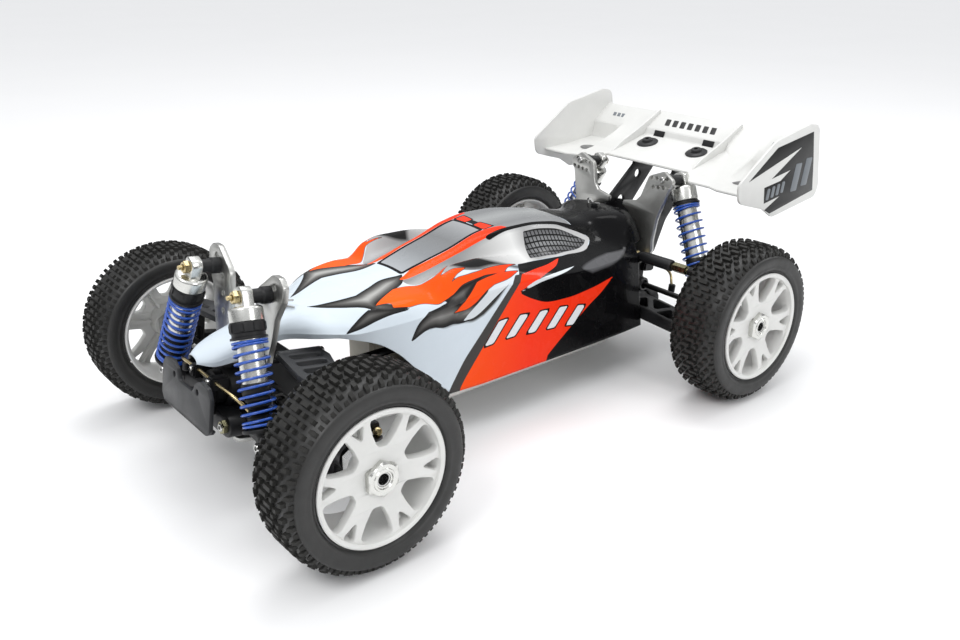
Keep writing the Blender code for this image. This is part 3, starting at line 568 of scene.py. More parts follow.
def rim(name, body, node, base, side):
    """White six-spoke wheel: barrel with rolled lips, forked spokes with deep walls and a hub."""
    piece = Piece(name, base, side)
    out = WHEEL_OUT
    barrel = [(39.9, 146.4), (39.8, 147.3), (39.0, 147.9), (37.8, 147.8), (36.9, 147.0), (36.5, 144.0),
              (36.0, 139.5), (36.0, 112.0), (37.4, 109.0), (38.8, 107.9), (39.9, 107.9), (39.9, 109.2),
              (38.0, 112.6), (38.0, 141.0), (38.6, 145.4)]
    piece.add("white", lathe(barrel, (0, 0, 0), (1, 0, 0), 96))
    holes = [circle((0, 0), 6.0, 32)]
    for number in range(SPOKES):
        angle = WINDOW_TURN + SPOKE_STEP * number
        window = [polar(36.3, angle - 0.30), polar(37.4, angle), polar(36.3, angle + 0.30),
                  polar(26.0, angle + 0.275), polar(18.0, angle + 0.17), polar(18.0, angle - 0.17),
                  polar(26.0, angle - 0.275)]
        holes.append(rounded(window, [3.4, 40, 3.4, 14, 4, 4, 14], 6))
        angle += SPOKE_STEP / 2
        fork = [polar(36.4, angle - 0.115), polar(36.8, angle), polar(36.4, angle + 0.115),
                polar(26.2, angle)]
        holes.append(rounded(fork, [1.8, 40, 1.8, 1.3], 4))
    disc = plate(circle((0, 0), 38.0, 96), "x", out - 10.2, out - 2.4, holes, 0.9)
    for vert in disc.vertices:
        reach = hypot(vert.co.y, vert.co.z)
        vert.co.x -= 3.2 * max(0.0, 1 - reach / 37.0)
        if vert.co.x < out - 8:
            vert.co.x += 2.4 * min(1.0, reach / 37.0)
    piece.add("white", disc)
    hub = [(4.4, out - 20), (10.6, out - 20), (11.8, out - 10), (15.4, out - 6.6), (14.6, out - 5.3),
           (12.6, out - 4.8), (4.4, out - 4.7)]
    piece.add("white", lathe(hub, (0, 0, 0), (1, 0, 0), 48))
    for number in range(SPOKES):
        angle = WINDOW_TURN + SPOKE_STEP / 2 + SPOKE_STEP * number
        rib = box((out - 14, out - 8), (10, 36), (-1.1, 1.1), 0.4)
        rib.transform(Matrix.Rotation(angle, 4, "X"))
        piece.add("white", rib)
    return piece.ride(body, node, sharp=38)


def axle(name, body, node, base, side):
    """Stub axle, 17 mm hexagon, flanged nut and the threaded end of the axle inside it."""
    piece = Piece(name, base, side)
    out = WHEEL_OUT
    hexagon = 9.8
    shaft = [(0, -49), (2.4, -49), (2.6, -48.6), (2.6, -27.6), (hexagon, -27.6), (hexagon, -20.4),
             (4.1, -20.4), (4.1, -1.6), (3.9, -1.3), (3.3, -1.4), (3.2, -9), (0, -9)]
    piece.add("steel", lathe(shaft, (out, 0, 0), (1, 0, 0), 36, hexed=(4, 5)))
    turned = [(4.15, -4.7), (10.6, -4.7), (10.6, -1.2), (8.8, -0.5), (6.7, -0.5), (6.4, 0), (5.3, 0),
              (4.9, -0.8), (4.15, -0.9)]
    piece.add("polish", lathe(turned, (out, 0, 0), (1, 0, 0), 72, hexed=(1, 2)))
    for turn in range(5):
        ring = circle((0, 0), 4.15, 28)
        x = out - 1.7 - 0.7 * turn
        piece.add("steel", tube([(x, a, b) for a, b in ring], 0.18, 5, True))
    piece.add("black", lathe([(0, 0), (3.2, 0), (3.2, 0.4), (0, 0.4)], (out - 6.5, 0, 0), (1, 0, 0), 24))
    return piece.ride(body, node, sharp=16)


def add_wheels():
    for end in ("front", "rear"):
        for hand, side in SIDES:
            label = end + "_" + hand + "_"
            body = label + "wheel"
            tyre(label + "treaded_tyre", body, label + "tyre", AXLE[end], side)
            rim(label + "spoked_rim", body, label + "rim", AXLE[end], side)
            axle(label + "axle_and_nut", body, label + "axle", AXLE[end], side)


# ---------------------------------------------------------------- shocks


def shock_line(end):
    top = Vector(SHOCK_TOP[end])
    foot = Vector(SHOCK_FOOT[end])
    return top, foot, (foot - top).normalized()


def eye(centre, radius, bore, half):
    """Ring of a shock's eye across the pins."""
    profile = [(bore, -half), (radius - 0.8, -half), (radius, -half + 0.8), (radius, half - 0.8),
               (radius - 0.8, half), (bore, half)]
    return lathe(profile, centre, (0, 1, 0), 32)


def shock_body(end, hand, side):
    """Eye, cap, grip and spring seat, cylinder and seal of a shock, hanging from its top eye."""
    top, _, down = shock_line(end)
    length = SHOCK_BODY[end]
    label = end + "_" + hand + "_"
    piece = Piece(label + "shock_cylinder", LEAN[end], side)
    neck = plate(rounded([(-5.6, 5.6), (-5.6, -3.5), (-3.0, -6.0), (3.0, -6.0), (5.6, -3.5), (5.6, 5.6),
                          (7.2, 9.5), (-7.2, 9.5)], [0.3, 3, 3, 3, 3, 0.3, 1, 1], 5),
                 "v", -3.6, 3.6, [circle((0, 0), 2.6, 16)], 0.9)
    turn = atan2(down.x, -down.z)
    neck.transform(Matrix.Scale(-1, 4, (0, 0, 1)))
    neck.flip_normals()
    neck.transform(Matrix.Rotation(-turn, 4, "Y"))
    neck.transform(Matrix.Translation(top))
    seat = COLLAR[end]
    step = 14.4 if end == "front" else seat - 2.6
    cap = [(0, 5.6), (8.2, 5.6), (9.2, 6.0), (10.0, 7.0), (10.1, 7.6), (10.1, step - 0.4), (9.7, step),
           (0, step)]
    piece.add("polish", neck, lathe(cap, top, down, 48))
    if end == "front":
        grip = [(0, step), (10.1, step), (10.3, step + 0.5), (10.3, step + 5.6), (9.7, step + 6),
                (0, step + 6)]
        piece.add("black", lathe(grip, top, down, 40))
        for number in range(8):
            rib = box((9.8, 10.8), (-1.5, 1.5), (step + 0.6, step + 5.4), 0.4)
            rib.transform(Matrix.Rotation(pi * number / 4, 4, "Z"))
            rib.transform(Matrix.Translation(top) @ across(down).to_4x4())
            piece.add("black", rib)
    collar = [(0, seat - 3.8), (9.6, seat - 3.8), (9.6, seat - 1.8), (10.7, seat - 1.4), (10.7, seat - 0.2),
              (7.9, seat), (0, seat)]
    piece.add("black", lathe(collar, top, down, 40))
    split = 49.0 if end == "front" else 62.0
    cylinder = [(0, seat - 1), (7.6, seat - 1), (7.6, split), (0, split)]
    piece.add("polish", lathe(cylinder, top, down, 40))
    seal = [(0, split), (7.9, split), (8.1, split + 0.5), (8.1, length - 1.2), (7.4, length), (2.2, length),
            (0, length)]
    piece.add("black", lathe(seal, top, down, 40))
    piece.ride(label + "shock_body", label + "shock_body")


def squashed(item):
    """Give a spring or boot a mesh of its own."""
    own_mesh(item)


def spring(end, hand, side):
    """Coil with closed, flattened ends between the collar and the lower cup."""
    top, foot, down = shock_line(end)
    label = end + "_" + hand + "_"
    full = (foot - top).length
    length = full - CUP_FROM_FOOT - COLLAR[end]
    wire, radius = 0.82, 9.75
    turns = 12.0 if end == "front" else 13.6
    axes = across(down)
    steps = 22
    path = []
    total = int(turns * steps)
    for step in range(total + 1):
        share = step / total
        closed = 1.35 / turns
        if share < closed:
            height = wire + 2 * wire * share * turns * 0.95
        elif share > 1 - closed:
            height = length - wire - 2 * wire * (1 - share) * turns * 0.95
        else:
            low = wire + 2 * wire * closed * turns * 0.95
            high = length - low
            height = low + (high - low) * (share - closed) / (1 - 2 * closed)
        angle = 2 * pi * step / steps
        path.append(top + axes @ Vector((radius * cos(angle), radius * sin(angle), COLLAR[end] + height)))
    piece = Piece(label + "coil_spring", LEAN[end], side).add("blue", tube(path, wire, 8))
    item = piece.ride(label + "shock_body", label + "spring", sharp=60)
    squashed(item)


def boot(end, hand, side):
    """Ribbed rubber boot round the shaft, between the cylinder and the lower cup."""
    top, foot, down = shock_line(end)
    label = end + "_" + hand + "_"
    full = (foot - top).length
    start = SHOCK_BODY[end] - 0.5
    stop = full - CUP_FROM_FOOT
    ridges = 5
    step = (stop - start) / ridges
    profile = [(0, start), (6.6, start)]
    for number in range(ridges):
        low = start + step * number
        wide = 7.2 - 0.25 * number
        profile += [(wide, low + step * 0.35), (wide, low + step * 0.6), (wide - 1.6, low + step)]
    profile.append((0, stop))
    piece = Piece(label + "shaft_boot", LEAN[end], side).add("black", lathe(profile, top, down, 32))
    item = piece.ride(label + "shock_body")
    squashed(item)


def shock_foot(end, hand, side):
    top, foot, down = shock_line(end)
    label = end + "_" + hand + "_"
    full = (foot - top).length
    cup = full - CUP_FROM_FOOT
    piece = Piece(label + "shock_shaft", LEAN[end], side)
    inside = SHOCK_BODY[end] - 10
    piece.add("steel", lathe([(0, inside), (1.6, inside), (1.6, full - 5), (0, full - 5)], top, down, 16))
    seat = [(0, cup - 0.6), (6.6, cup - 0.6), (7.6, cup + 0.1), (10.7, cup + 0.3), (10.9, cup + 0.9),
            (10.6, cup + 2.2), (6.5, cup + 2.9), (3.6, cup + 4.6), (3.3, full - 3), (0, full - 3)]
    piece.add("black", lathe(seat, top, down, 36))
    piece.add("black", eye(foot, 5.2, 2.0, 3.2))
    piece.add("steel", ball(foot, 3.0))
    piece.ride(label + "shock_rod", label + "shock_rod")


def shock_bolts(end, hand, side):
    """Stand-off, bolt and nut that hang the shock's eye on the tower."""
    label = end + "_" + hand + "_"
    x, v, w = SHOCK_TOP[end]
    piece = Piece(label + "shock_mounting", LEAN[end], side)
    if end == "front":
        plate_v = TOWER_FACE[end]
        piece.add("black", lathe([(0, 0), (5.0, 0), (5.2, 0.5), (5.2, 5.4), (4.4, 6.4), (4.2, 12.2),
                                  (0, 12.2)], (x, plate_v - 0.1, w), (0, -1, 0), 12))
        nut(piece, (x, v - 3.8, w), (0, -1, 0), 4.0, 3.4)
        piece.add("brass", rod((x, v - 6.8, w), (x, v - 10.2, w), 1.5, 16))
    else:
        plate_v = TOWER_FACE[end] + TOWER_PLATE
        piece.add("black", lathe([(0, 0), (5.0, 0), (5.0, 4.4), (4.0, 5.2), (4.0, v - 3.8 - plate_v),
                                  (0, v - 3.8 - plate_v)], (x, plate_v + 0.1, w), (0, 1, 0), 16))
        nut(piece, (x, v + 3.8, w), (0, 1, 0), 4.0, 3.4)
        piece.add("steel", rod((x, v + 6.8, w), (x, v + 10.0, w), 1.5, 16))
        socket_screw(piece, (x, TOWER_FACE[end], w), (0, -1, 0), 2.8, 2.4)
    piece.ride("chassis")


def add_shocks():
    for end in ("front", "rear"):
        for hand, side in SIDES:
            shock_body(end, hand, side)
            spring(end, hand, side)
            boot(end, hand, side)
            shock_foot(end, hand, side)
            shock_bolts(end, hand, side)


# ---------------------------------------------------------------- towers and bumper


def tower(end, half, radii, holes):
    """Aluminium shock tower, cut from plate."""
    outline = rounded(symmetric(half), radii + radii[::-1], 5)
    face = TOWER_FACE[end]
    piece = Piece(end + "_tower_plate", LEAN[end])
    piece.add("plate", plate(outline, "v", face, face + TOWER_PLATE, holes, 0.4))
    piece.ride("chassis", end + "_shock_tower")


def front_tower():
    half = [(17, 10.4), (22, 18), (34, 25), (38, 40), (41, 55), (48, 67), (48.4, 76), (43, 80.4),
            (35, 80.4), (18, 68), (16, 52), (16, 21)]
    radii = [1, 2, 4, 6, 6, 5, 4, 4, 6, 8, 6, 6]
    holes = []
    for side in (1, -1):
        for column, row in ((38, 73.2), (28.5, 63), (26, 52), (25, 41)):
            holes.append(circle((side * column, row), 2.1, 16))
    tower("front", half, radii, holes)


def rear_tower():
    half = [(17, 10.4), (36, 20), (44, 30), (42.5, 38), (43.5, 56), (50, 78), (54.3, 87), (44, 93.2),
            (30, 87.5), (25, 71), (21, 66.5), (8, 64), (8, 60), (16, 56), (19, 44), (14, 30)]
    radii = [1, 3, 5, 6, 30, 10, 3.5, 2.5, 5, 6, 3, 1.5, 1.5, 5, 8, 5]
    holes = []
    for side in (1, -1):
        for number in range(4):
            holes.append(circle((side * (33.5 + 4.8 * number), 86.2 + 0.6 * number), 1.35, 14))
            holes.append(circle((side * (36.0 + 4.8 * number), 79.6 + 0.6 * number), 1.35, 14))
    tower("rear", half, radii, holes)


def front_bumper():
    half = [(30, -16), (34, -12), (34, 8), (30, 13.5), (20, 14.5), (13, 11), (9.5, 4.5)]
    radii = [4, 4, 5, 4, 5, 4, 4]
    outline = rounded(symmetric(half), radii + radii[::-1], 6)
    holes = [circle((side * 16.3, 6.5), 1.9, 18) for side in (1, -1)]
    piece = Piece("bumper_plate", LEAN["front"])
    piece.add("grey", plate(outline, "v", -44, -41.2, holes, 0.5))
    piece.add("grey", box((-30, 30), (-44, -37.5), (-16.2, -13.4), 0.9))
    piece.add("black", box((-12, 12), (-42.5, -29.3), (-14, -1), 1.6))
    piece.ride("chassis", "front_bumper")


# ---------------------------------------------------------------- arms, hubs and links


def bent(mesh, start, stop, thin=1.0):
    """Slope a flat arm along the line between two (x, w) pivots, thinning it towards the second."""
    for vert in mesh.vertices:
        share = min(1.0, max(0.0, (vert.co.x - start[0]) / (stop[0] - start[0])))
        vert.co.z = start[1] + (stop[1] - start[1]) * share + vert.co.z * (1 + (thin - 1) * share)
    return mesh


def bolt(piece, start, end, radius=1.5, head=2.6, finish="steel"):
    """Hinge pin or screw with a socket head at its start."""
    piece.add(finish, rod(start, end, radius, 16))
    socket_screw(piece, start, Vector(start) - Vector(end), head, head * 0.7, finish)


def lower_arm(end, hand, side):
    label = end + "_" + hand + "_"
    x, w = ARM_PIVOT
    out_x, out_w = HUB_PIVOT
    foot_x, foot_v, foot_w = SHOCK_FOOT[end]
    piece = Piece(label + "arm_moulding", LEAN[end], side)
    outline = [(x - 5, -16.6), (out_x + 4.5, -16.6), (out_x + 4.5, -9), (out_x - 9.4, -9), (out_x - 9.4, 9),
               (out_x + 4.5, 9), (out_x + 4.5, 16.6), (x - 5, 16.6)]
    triangles = [[(34, -12), (53, -12), (34, 9)], [(38, 12), (57, -9), (57, 12)],
                 [(61.5, -12), (79, -12), (61.5, 8)], [(65, 12), (80, -6), (80, 12)]]
    windows = [rounded(points, 2.2) for points in triangles]
    beam = plate(rounded(outline, [3, 4, 2, 2, 2, 2, 4, 3]), "w", -5.2, 5.2, windows, 0.9)
    floor = plate([(32, -14), (81, -14), (81, 14), (32, 14)], "w", -3.4, -2.2, (), 0.1)
    piece.add("black", bent(beam, ARM_PIVOT, HUB_PIVOT, 0.75), bent(floor, ARM_PIVOT, HUB_PIVOT, 0.75))
    piece.add("black", rod((x, -16.8, w), (x, 16.8, w), 6.0, 28, 0.8))
    for v in (-16.8, 9.0):
        piece.add("black", rod((out_x, v, out_w), (out_x, v + 7.8, out_w), 5.2, 28, 0.7))
    bolt(piece, (out_x, -17.2, out_w), (out_x, 18.2, out_w), 1.6, 2.8)
    if end == "rear":
        lug = rounded([(foot_x - 4.5, out_w - 2), (foot_x + 4.5, out_w - 2), (foot_x + 4.5, foot_w + 4.5),
                       (foot_x - 4.5, foot_w + 4.5)], [1, 1, 4, 4])
        piece.add("black", plate(lug, "v", 16.8, 20.4, (), 0.6))
        bolt(piece, (foot_x, 20.4, foot_w), (foot_x, 12, foot_w), 1.6, 2.8)
    else:
        piece.add("black", box((foot_x - 5, foot_x + 5), (-16.9, -12), (-20, foot_w - 1), 1.4))
        piece.add("black", rod((foot_x, -13, foot_w - 1.5), (foot_x, foot_v + 4, foot_w - 1.5), 5.0,
                               24, 0.8))
        bolt(piece, (foot_x, foot_v - 3.4, foot_w), (foot_x, -18, foot_w), 1.6, 2.9)
    piece.ride(label + "lower_arm", label + "lower_arm")


def caster_block(hand, side):
    label = "front_" + hand + "_"
    x, w = HUB_PIVOT
    pin = KINGPIN_X
    piece = Piece(label + "caster_block", LEAN["front"], side)
    hole = rounded([(-5, -8.6), (5, -8.6), (5, 9.6), (-5, 9.6)], 4)
    web = rounded([(-7.2, w + 5), (7.2, w + 5), (7.2, 20), (-7.2, 20)], 3)
    piece.add("black", plate(web, "x", x - 7, x + 0.6, [hole], 0.6))
    ear = rounded([(x - 3, -7), (pin, -7), (pin + 5, -3.5), (pin + 5, 3.5), (pin, 7), (x - 3, 7)], 3)
    for low, high in ((w - 3, w + 3.4), (16.9, 21.4)):
        piece.add("black", plate(ear, "w", low, high, (), 0.6))
    piece.add("black", rod((x, -8, w + 0.6), (x, 8, w + 0.6), 4.9, 28, 0.7))
    socket_screw(piece, (pin, 0, 21.3), (0, 0, 1), 3.2, 2.4)
    socket_screw(piece, (pin, 0, w - 2.9), (0, 0, -1), 3.2, 1.6)
    piece.ride(label + "c_hub", label + "c_hub")


def carrier_barrel(start, radius):
    """Bearing holder with a stepped nose, round the axle."""
    return lathe([(3.2, start), (radius - 1, start), (radius, start + 1), (radius, 108),
                  (radius - 1.5, 109.6),
                  (radius - 1.5, 117), (3.2, 117)], (0, 0, 0), (1, 0, 0), 44)


def knuckle(hand, side):
    label = "front_" + hand + "_"
    pin = KINGPIN_X
    piece = Piece(label + "steering_knuckle", LEAN["front"], side)
    piece.add("black", carrier_barrel(99.2, 10.0))
    for low, high in ((-16, -7), (7, 16.3)):
        piece.add("black", box((pin - 4, pin + 4), (-5, 5), (low, high), 1.2))
    lever = rounded([(101, 6), (109, 6), (105, 24), (101, 31), (97, 31), (97, 20)], [1, 1, 4, 3, 2, 4])
    piece.add("black", plate(lever, "w", -4.9, -0.2, (), 0.7))
    piece.add("brass", ball((100, 27, 2.6), 2.9), rod((100, 27, -6.4), (100, 27, 1), 1.5))
    piece.add("polish", lathe([(3.3, 0), (5.6, 0), (5.6, 0.4), (3.3, 0.4)], (98.9, 0, 0), (1, 0, 0), 28))
    piece.ride(label + "knuckle", label + "knuckle")


def hub_carrier(hand, side):
    label = "rear_" + hand + "_"
    x, w = HUB_PIVOT
    piece = Piece(label + "rear_hub", LEAN["rear"], side)
    piece.add("black", carrier_barrel(97, 11.0))
    piece.add("black", box((x - 4.8, x + 11.8), (-7.9, 7.9), (w - 4.4, -8), 1.6))
    piece.add("black", rod((x, -8, w), (x, 8, w), 4.6, 28, 0.7))
    post = rounded([(-9, 2), (8, 2), (5, 20), (0, 31.8), (-12, 31.8), (-12, 22)], [2, 2, 8, 4, 3, 6])
    piece.add("black", plate(post, "x", 97.2, 103.8, (), 0.8))
    bolt(piece, (100.4, 0.4, 27.4), (100.4, -13, 27.4), 1.5, 2.8)
    piece.ride(label + "hub_carrier", label + "hub_carrier")


def upper_arm(hand, side):
    label = "front_" + hand + "_"
    x, w = UPPER_INNER["front"]
    out_x, out_w = UPPER_OUTER["front"]
    piece = Piece(label + "slotted_upper_arm", LEAN["front"], side)
    outline = rounded([(x - 2.6, 1.2), (64, -5.8), (out_x - 8, -5.8), (out_x + 2.6, -3.6),
                       (out_x + 2.6, 3.6),
                       (out_x - 8, 6.8), (58, 23.8), (x + 12, 30.6), (x - 2.6, 30.6)],
                       [3, 20, 8, 2, 2, 8, 12, 8, 3])
    slots = [rounded(points, 2.6) for points in (
        [(33.5, 5), (40.5, 4), (40.5, 26), (33.5, 27)], [(45, 3), (52, 2), (52, 21), (45, 24)],
        [(56.5, 1.4), (63.5, 0.4), (63.5, 14.5), (56.5, 18.5)])]
    piece.add("grey", bent(plate(outline, "w", -2.3, 2.0, slots, 0.9), (x, w), (out_x, w)))
    piece.add("grey", rod((x, 1, w - 0.2), (x, 30.8, w - 0.2), 2.9, 24, 0.6))
    bolt(piece, (x, 31, w), (x, 0.5, w), 1.2, 2.4)
    piece.add("black", rod((68, 0, w), (out_x - 4, 0, out_w + 1), 3.0, 20, 0.6))
    piece.add("brass", ball((out_x, 0, out_w + 1), 3.0))
    piece.ride(label + "upper_arm", label + "upper_arm")


def camber_link(hand, side):
    """Rear upper link: ball, thick sleeve, adjusting hexagon and a moulded end."""
    label = "rear_" + hand + "_"
    start = Vector((UPPER_INNER["rear"][0], -18, UPPER_INNER["rear"][1]))
    stop = Vector((UPPER_OUTER["rear"][0], -18, UPPER_OUTER["rear"][1]))
    along = stop - start
    length = along.length
    piece = Piece(label + "adjusting_link", LEAN["rear"], side)
    sleeve = [(0, 2.4), (3.0, 2.6), (3.5, 4.5), (4.3, 7), (4.4, 35), (3.9, 36), (0, 36)]
    hexagon = [(0, 36), (1.9, 36), (1.9, 37.5), (3.7, 38), (3.7, 49.5), (1.9, 50), (1.9, 52), (0, 52)]
    far = [(0, 51.5), (3.2, 52), (3.4, length - 2.6), (0, length - 2)]
    piece.add("black", lathe(sleeve, start, along, 28), lathe(far, start, along, 28))
    piece.add("olive", lathe(hexagon, start, along, 24, hexed=(3, 4)))
    piece.add("brass", ball(start, 3.6), ball(stop, 2.6))
    piece.add("brass", rod(start, start + Vector((0, 9, 0)), 1.5), rod(stop, stop + Vector((1.5, 6, 0)), 1.4))
    piece.ride(label + "camber_link", label + "camber_link")


def tie_rod(hand, side):
    label = "front_" + hand + "_"
    piece = Piece(label + "steering_rod", LEAN["front"], side)
    start = Vector((30, 27, 4.5))
    end_piece = [(0, -2.8), (2.6, -2.8), (3.4, -1.8), (3.4, 4), (2.6, 9), (2.6, 15), (0, 15)]
    piece.add("black", lathe(end_piece, start, (1, 0, 0), 24))
    piece.add("black", lathe(end_piece, start + Vector((65, 0, 0)), (-1, 0, 0), 24))
    middle = [(0, 14), (1.7, 14), (1.7, 28), (3.0, 28.5), (3.0, 36.5), (1.7, 37), (1.7, 51), (0, 51)]
    piece.add("steel", lathe(middle, start, (1, 0, 0), 24, hexed=(3, 4)))
    piece.ride(label + "tie_rod", label + "tie_rod")


def drive_shaft(end, hand, side):
    """Dogbone: slim shaft with a ball and a cross pin at each end."""
    label = end + "_" + hand + "_"
    piece = Piece(label + "dogbone", LEAN[end], side)
    start, stop = Vector((33, 0, 1)), Vector((92, 0, 0.2))
    piece.add("dark_steel", rod(start, stop, 2.1, 24, 0.5), ball(start, 3.4), ball(stop, 3.3))
    for spot in (start, stop):
        piece.add("steel", rod(spot - Vector((0, 4.6, 0)), spot + Vector((0, 4.6, 0)), 0.9, 12))
    piece.ride(label + "drive_shaft", label + "drive_shaft")


def add_suspension():
    for hand, side in SIDES:
        for end in ("front", "rear"):
            lower_arm(end, hand, side)
            drive_shaft(end, hand, side)
        caster_block(hand, side)
        knuckle(hand, side)
        upper_arm(hand, side)
        tie_rod(hand, side)
        hub_carrier(hand, side)
        camber_link(hand, side)


# ---------------------------------------------------------------- gearboxes and steering


def capsule(reach, w, radius):
    """Flat bar with round ends across the car, as an (x, w) outline."""
    half = [(reach + radius * sin(pi * step / 8), w - radius * cos(pi * step / 8)) for step in range(9)]
    return half + [(-x, level) for x, level in reversed(half)]


def gearbox(end):
    """Differential case with a front cover, outlets for the drive shafts and the arms' pin holders."""
    x, w = ARM_PIVOT
    face = TOWER_FACE[end] + TOWER_PLATE + 0.4 if end == "front" else TOWER_FACE[end] - 0.4
    inner = 22.4 if end == "front" else -22.4
    nose = -1 if end == "front" else 1
    piece = Piece(end + "_differential_case", LEAN[end])
    piece.add("black", box((-15.8, 15.8), (-20, 20), (-24, -8), 1.6))
    piece.add("black", lathe([(0, -22.3), (12.5, -22.3), (14.2, -20.5), (14.2, 20.5), (12.5, 22.3),
                              (0, 22.3)],
                             (0, 0, 0), (0, 1, 0), 48))
    piece.add("black", box((-21.8, 21.8), tuple(sorted((face, inner))), (-4, 21.8), 1.8))
    for low, high in ((-28.8, -17.8), (17.8, 28.8)):
        piece.add("black", plate(capsule(x, w, 6.8), "v", low, high, (), 1.0))
    piece.add("black", lathe([(0, 20), (11, 20), (11, 27.5), (9.5, 28.6), (0, 28.6)], (0, 0, 1),
                             (0, nose, 0), 40))
    for hand in (1, -1):
        outlet = [(0, 14), (9.0, 14), (9.0, 20), (7.6, 21.5), (7.6, 28.6), (0, 28.6)]
        cup = [(0, 28.6), (5.2, 28.6), (5.4, 29.2), (5.4, 35.5), (4.9, 36), (3.7, 36), (3.7, 29.4),
               (0, 29.4)]
        piece.add("black", lathe(outlet, (0, 0, 1), (hand, 0, 0), 36))
        piece.add("dark_steel", lathe(cup, (0, 0, 1), (hand, 0, 0), 32))
        bolt(piece, (hand * x, -31.0, w), (hand * x, 29.6, w), 1.7, 2.6)
        nut(piece, (hand * x, -29.0, w), (0, -1, 0), 4.4, 3.0, "olive")
        for level in (-2.5, 18.5):
            socket_screw(piece, (hand * 18.4, inner, level), (0, nose * -1, 0), 2.6, 1.8)
        for v in (-14, 14):
            socket_screw(piece, (hand * 12.5, v, -24), (0, 0, -1), 2.6, 0.8)
    piece.ride("chassis", end + "_gearbox")


def sway_bar(end):
    """Bent anti-roll wire in front of the case with its clamps and drop links."""
    piece = Piece(end + "_anti_roll_bar", LEAN[end])
    v = -32.0 if end == "front" else 32.0
    back = 1 if end == "front" else -1
    path = [(46, v + back * 9, -1), (43, v + back * 7, 3), (38, v + back * 3, 7.5), (30, v, 10),
            (16, v, 10.2)]
    full = path + [(-x, a, b) for x, a, b in reversed(path)]
    piece.add("brass", tube(smoothed(full, 4), 1.1, 12))
    for hand in (1, -1):
        piece.add("black", box((hand * 12 - 3.5, hand * 12 + 3.5),
                               tuple(sorted((v - back * 3, v + back * 9))),
                               (4.5, 13), 1.2))
        piece.add("black", rod((hand * 46, v + back * 9, -4.5), (hand * 46, v + back * 9, 2), 2.8, 20, 0.6))
        socket_screw(piece, (hand * 12, v - back * 3, 10), (0, -back, 0), 2.0, 1.4)
    piece.ride("chassis")


def wing_mount():
    piece = Piece("wing_struts", LEAN["rear"])
    outline = rounded([(-4, 22.6), (22, 22.6), (30, 50), (56, 88), (56, 104.8), (30, 94), (30, 88), (8, 63),
                       (-4, 48)], [2, 4, 14, 8, 3, 3, 4, 14, 8])
    holes = [circle((8, 36), 4, 20), circle((20, 58), 4, 20), circle((36, 80), 3.6, 20)]
    for hand in (1, -1):
        piece.add("black", plate(outline, "x", hand * 21 - 1.5, hand * 21 + 1.5, holes, 0.5))
        for v, w in ((2, 27), (16, 27)):
            socket_screw(piece, (hand * 22.5, v, w), (hand, 0, 0), 2.6, 1.6)
    piece.add("black", box((-21, 21), (14, 20), (37, 59), 1.4), box((-21, 21), (4, 21.8),
                                                                    (22.8, 26.8), 1.0))
    piece.ride("chassis", "wing_mount")


def steering():
    post = Piece("saver_post", LEAN["front"])
    x, v = 14.0, 60.0
    profile = [(0, -20), (5.6, -20), (5.6, -3), (8.6, -2.2), (9, -1.4), (9, 1.6), (8, 2.2), (5, 3),
               (4.6, 11),
               (4, 12), (0, 12)]
    post.add("black", lathe(profile, (x, v, 0), (0, 0, 1), 36))
    lever = rounded([(x - 4.5, v), (x + 4.5, v), (x + 3, v - 25), (x - 3, v - 25)], [4, 4, 2.6, 2.6])
    post.add("black", plate(lever, "w", 4, 8, (), 0.6))
    post.ride("servo_saver", "servo_saver")
    link = Piece("steering_plate", LEAN["front"])
    outline = symmetric([(26.4, 24.1), (26.4, 30), (20, 33.8)])
    link.add("plate", plate(rounded(outline, 2), "w", 3.1, 7.9, [circle((0, 29), 2, 16)], 0.4))
    link.ride("steering_link", "steering_link")


# ---------------------------------------------------------------- chassis and what stands on it


def chassis():
    front = AXLE["front"].translation.y
    rear = AXLE["rear"].translation.y
    half = [(11, front - 18), (16, front + 8), (38, front + 60), (44, front + 112), (44, rear - 50),
            (32, rear - 22), (16, rear - 6), (13, rear + 24)]
    outline = rounded(symmetric(half), 6)
    spots = [(7, front - 10), (8, front + 14), (10, rear - 14), (7, rear + 12), (36, -60), (36, 50),
             (26, -10)]
    holes = [circle((hand * x, y), 2.2, 18) for hand in (1, -1) for x, y in spots]
    piece = Piece("milled_chassis_plate")
    piece.add("plate", plate(outline, "w", 26.0, 29.0, holes, 0.5))
    for hand in (1, -1):
        for x, y in spots:
            socket_screw(piece, (hand * x, y, 26.9), (0, 0, -1), 2.1, 0.6)
    piece.ride("chassis", "chassis_plate")


def engine():
    x, base = -30, 29.3
    piece = Piece("glow_engine")
    piece.add("casting", box((x - 13, x + 13), (-22, 20), (base, 62), 3.0))
    fins = [(0, 58), (11.5, 58), (11.5, 70)]
    for level in range(5):
        low = 70.5 + 4.6 * level
        fins += [(17.4, low), (17.8, low + 0.5), (17.8, low + 1.5), (17.4, low + 2.0), (12, low + 2.1),
                 (12, low + 4.5)]
    fins += [(15, 94.0), (14, 98.6), (0, 98.8)]
    piece.add("casting", lathe(fins, (x, 0, 0), (0, 0, 1), 48))
    for number in range(4):
        angle = pi * number / 2 + pi / 4
        socket_screw(piece, (x + 10 * cos(angle), 10 * sin(angle), 98.4), (0, 0, 1), 2.0, 0.5)
    piece.add("dark_steel", lathe([(0, 14), (6, 14), (6, 30), (4.6, 31), (4.6, 35.8), (0, 35.8)],
                                  (x, 0, 58),
                                  (0, -1, 0), 32))
    piece.ride("chassis", "engine")


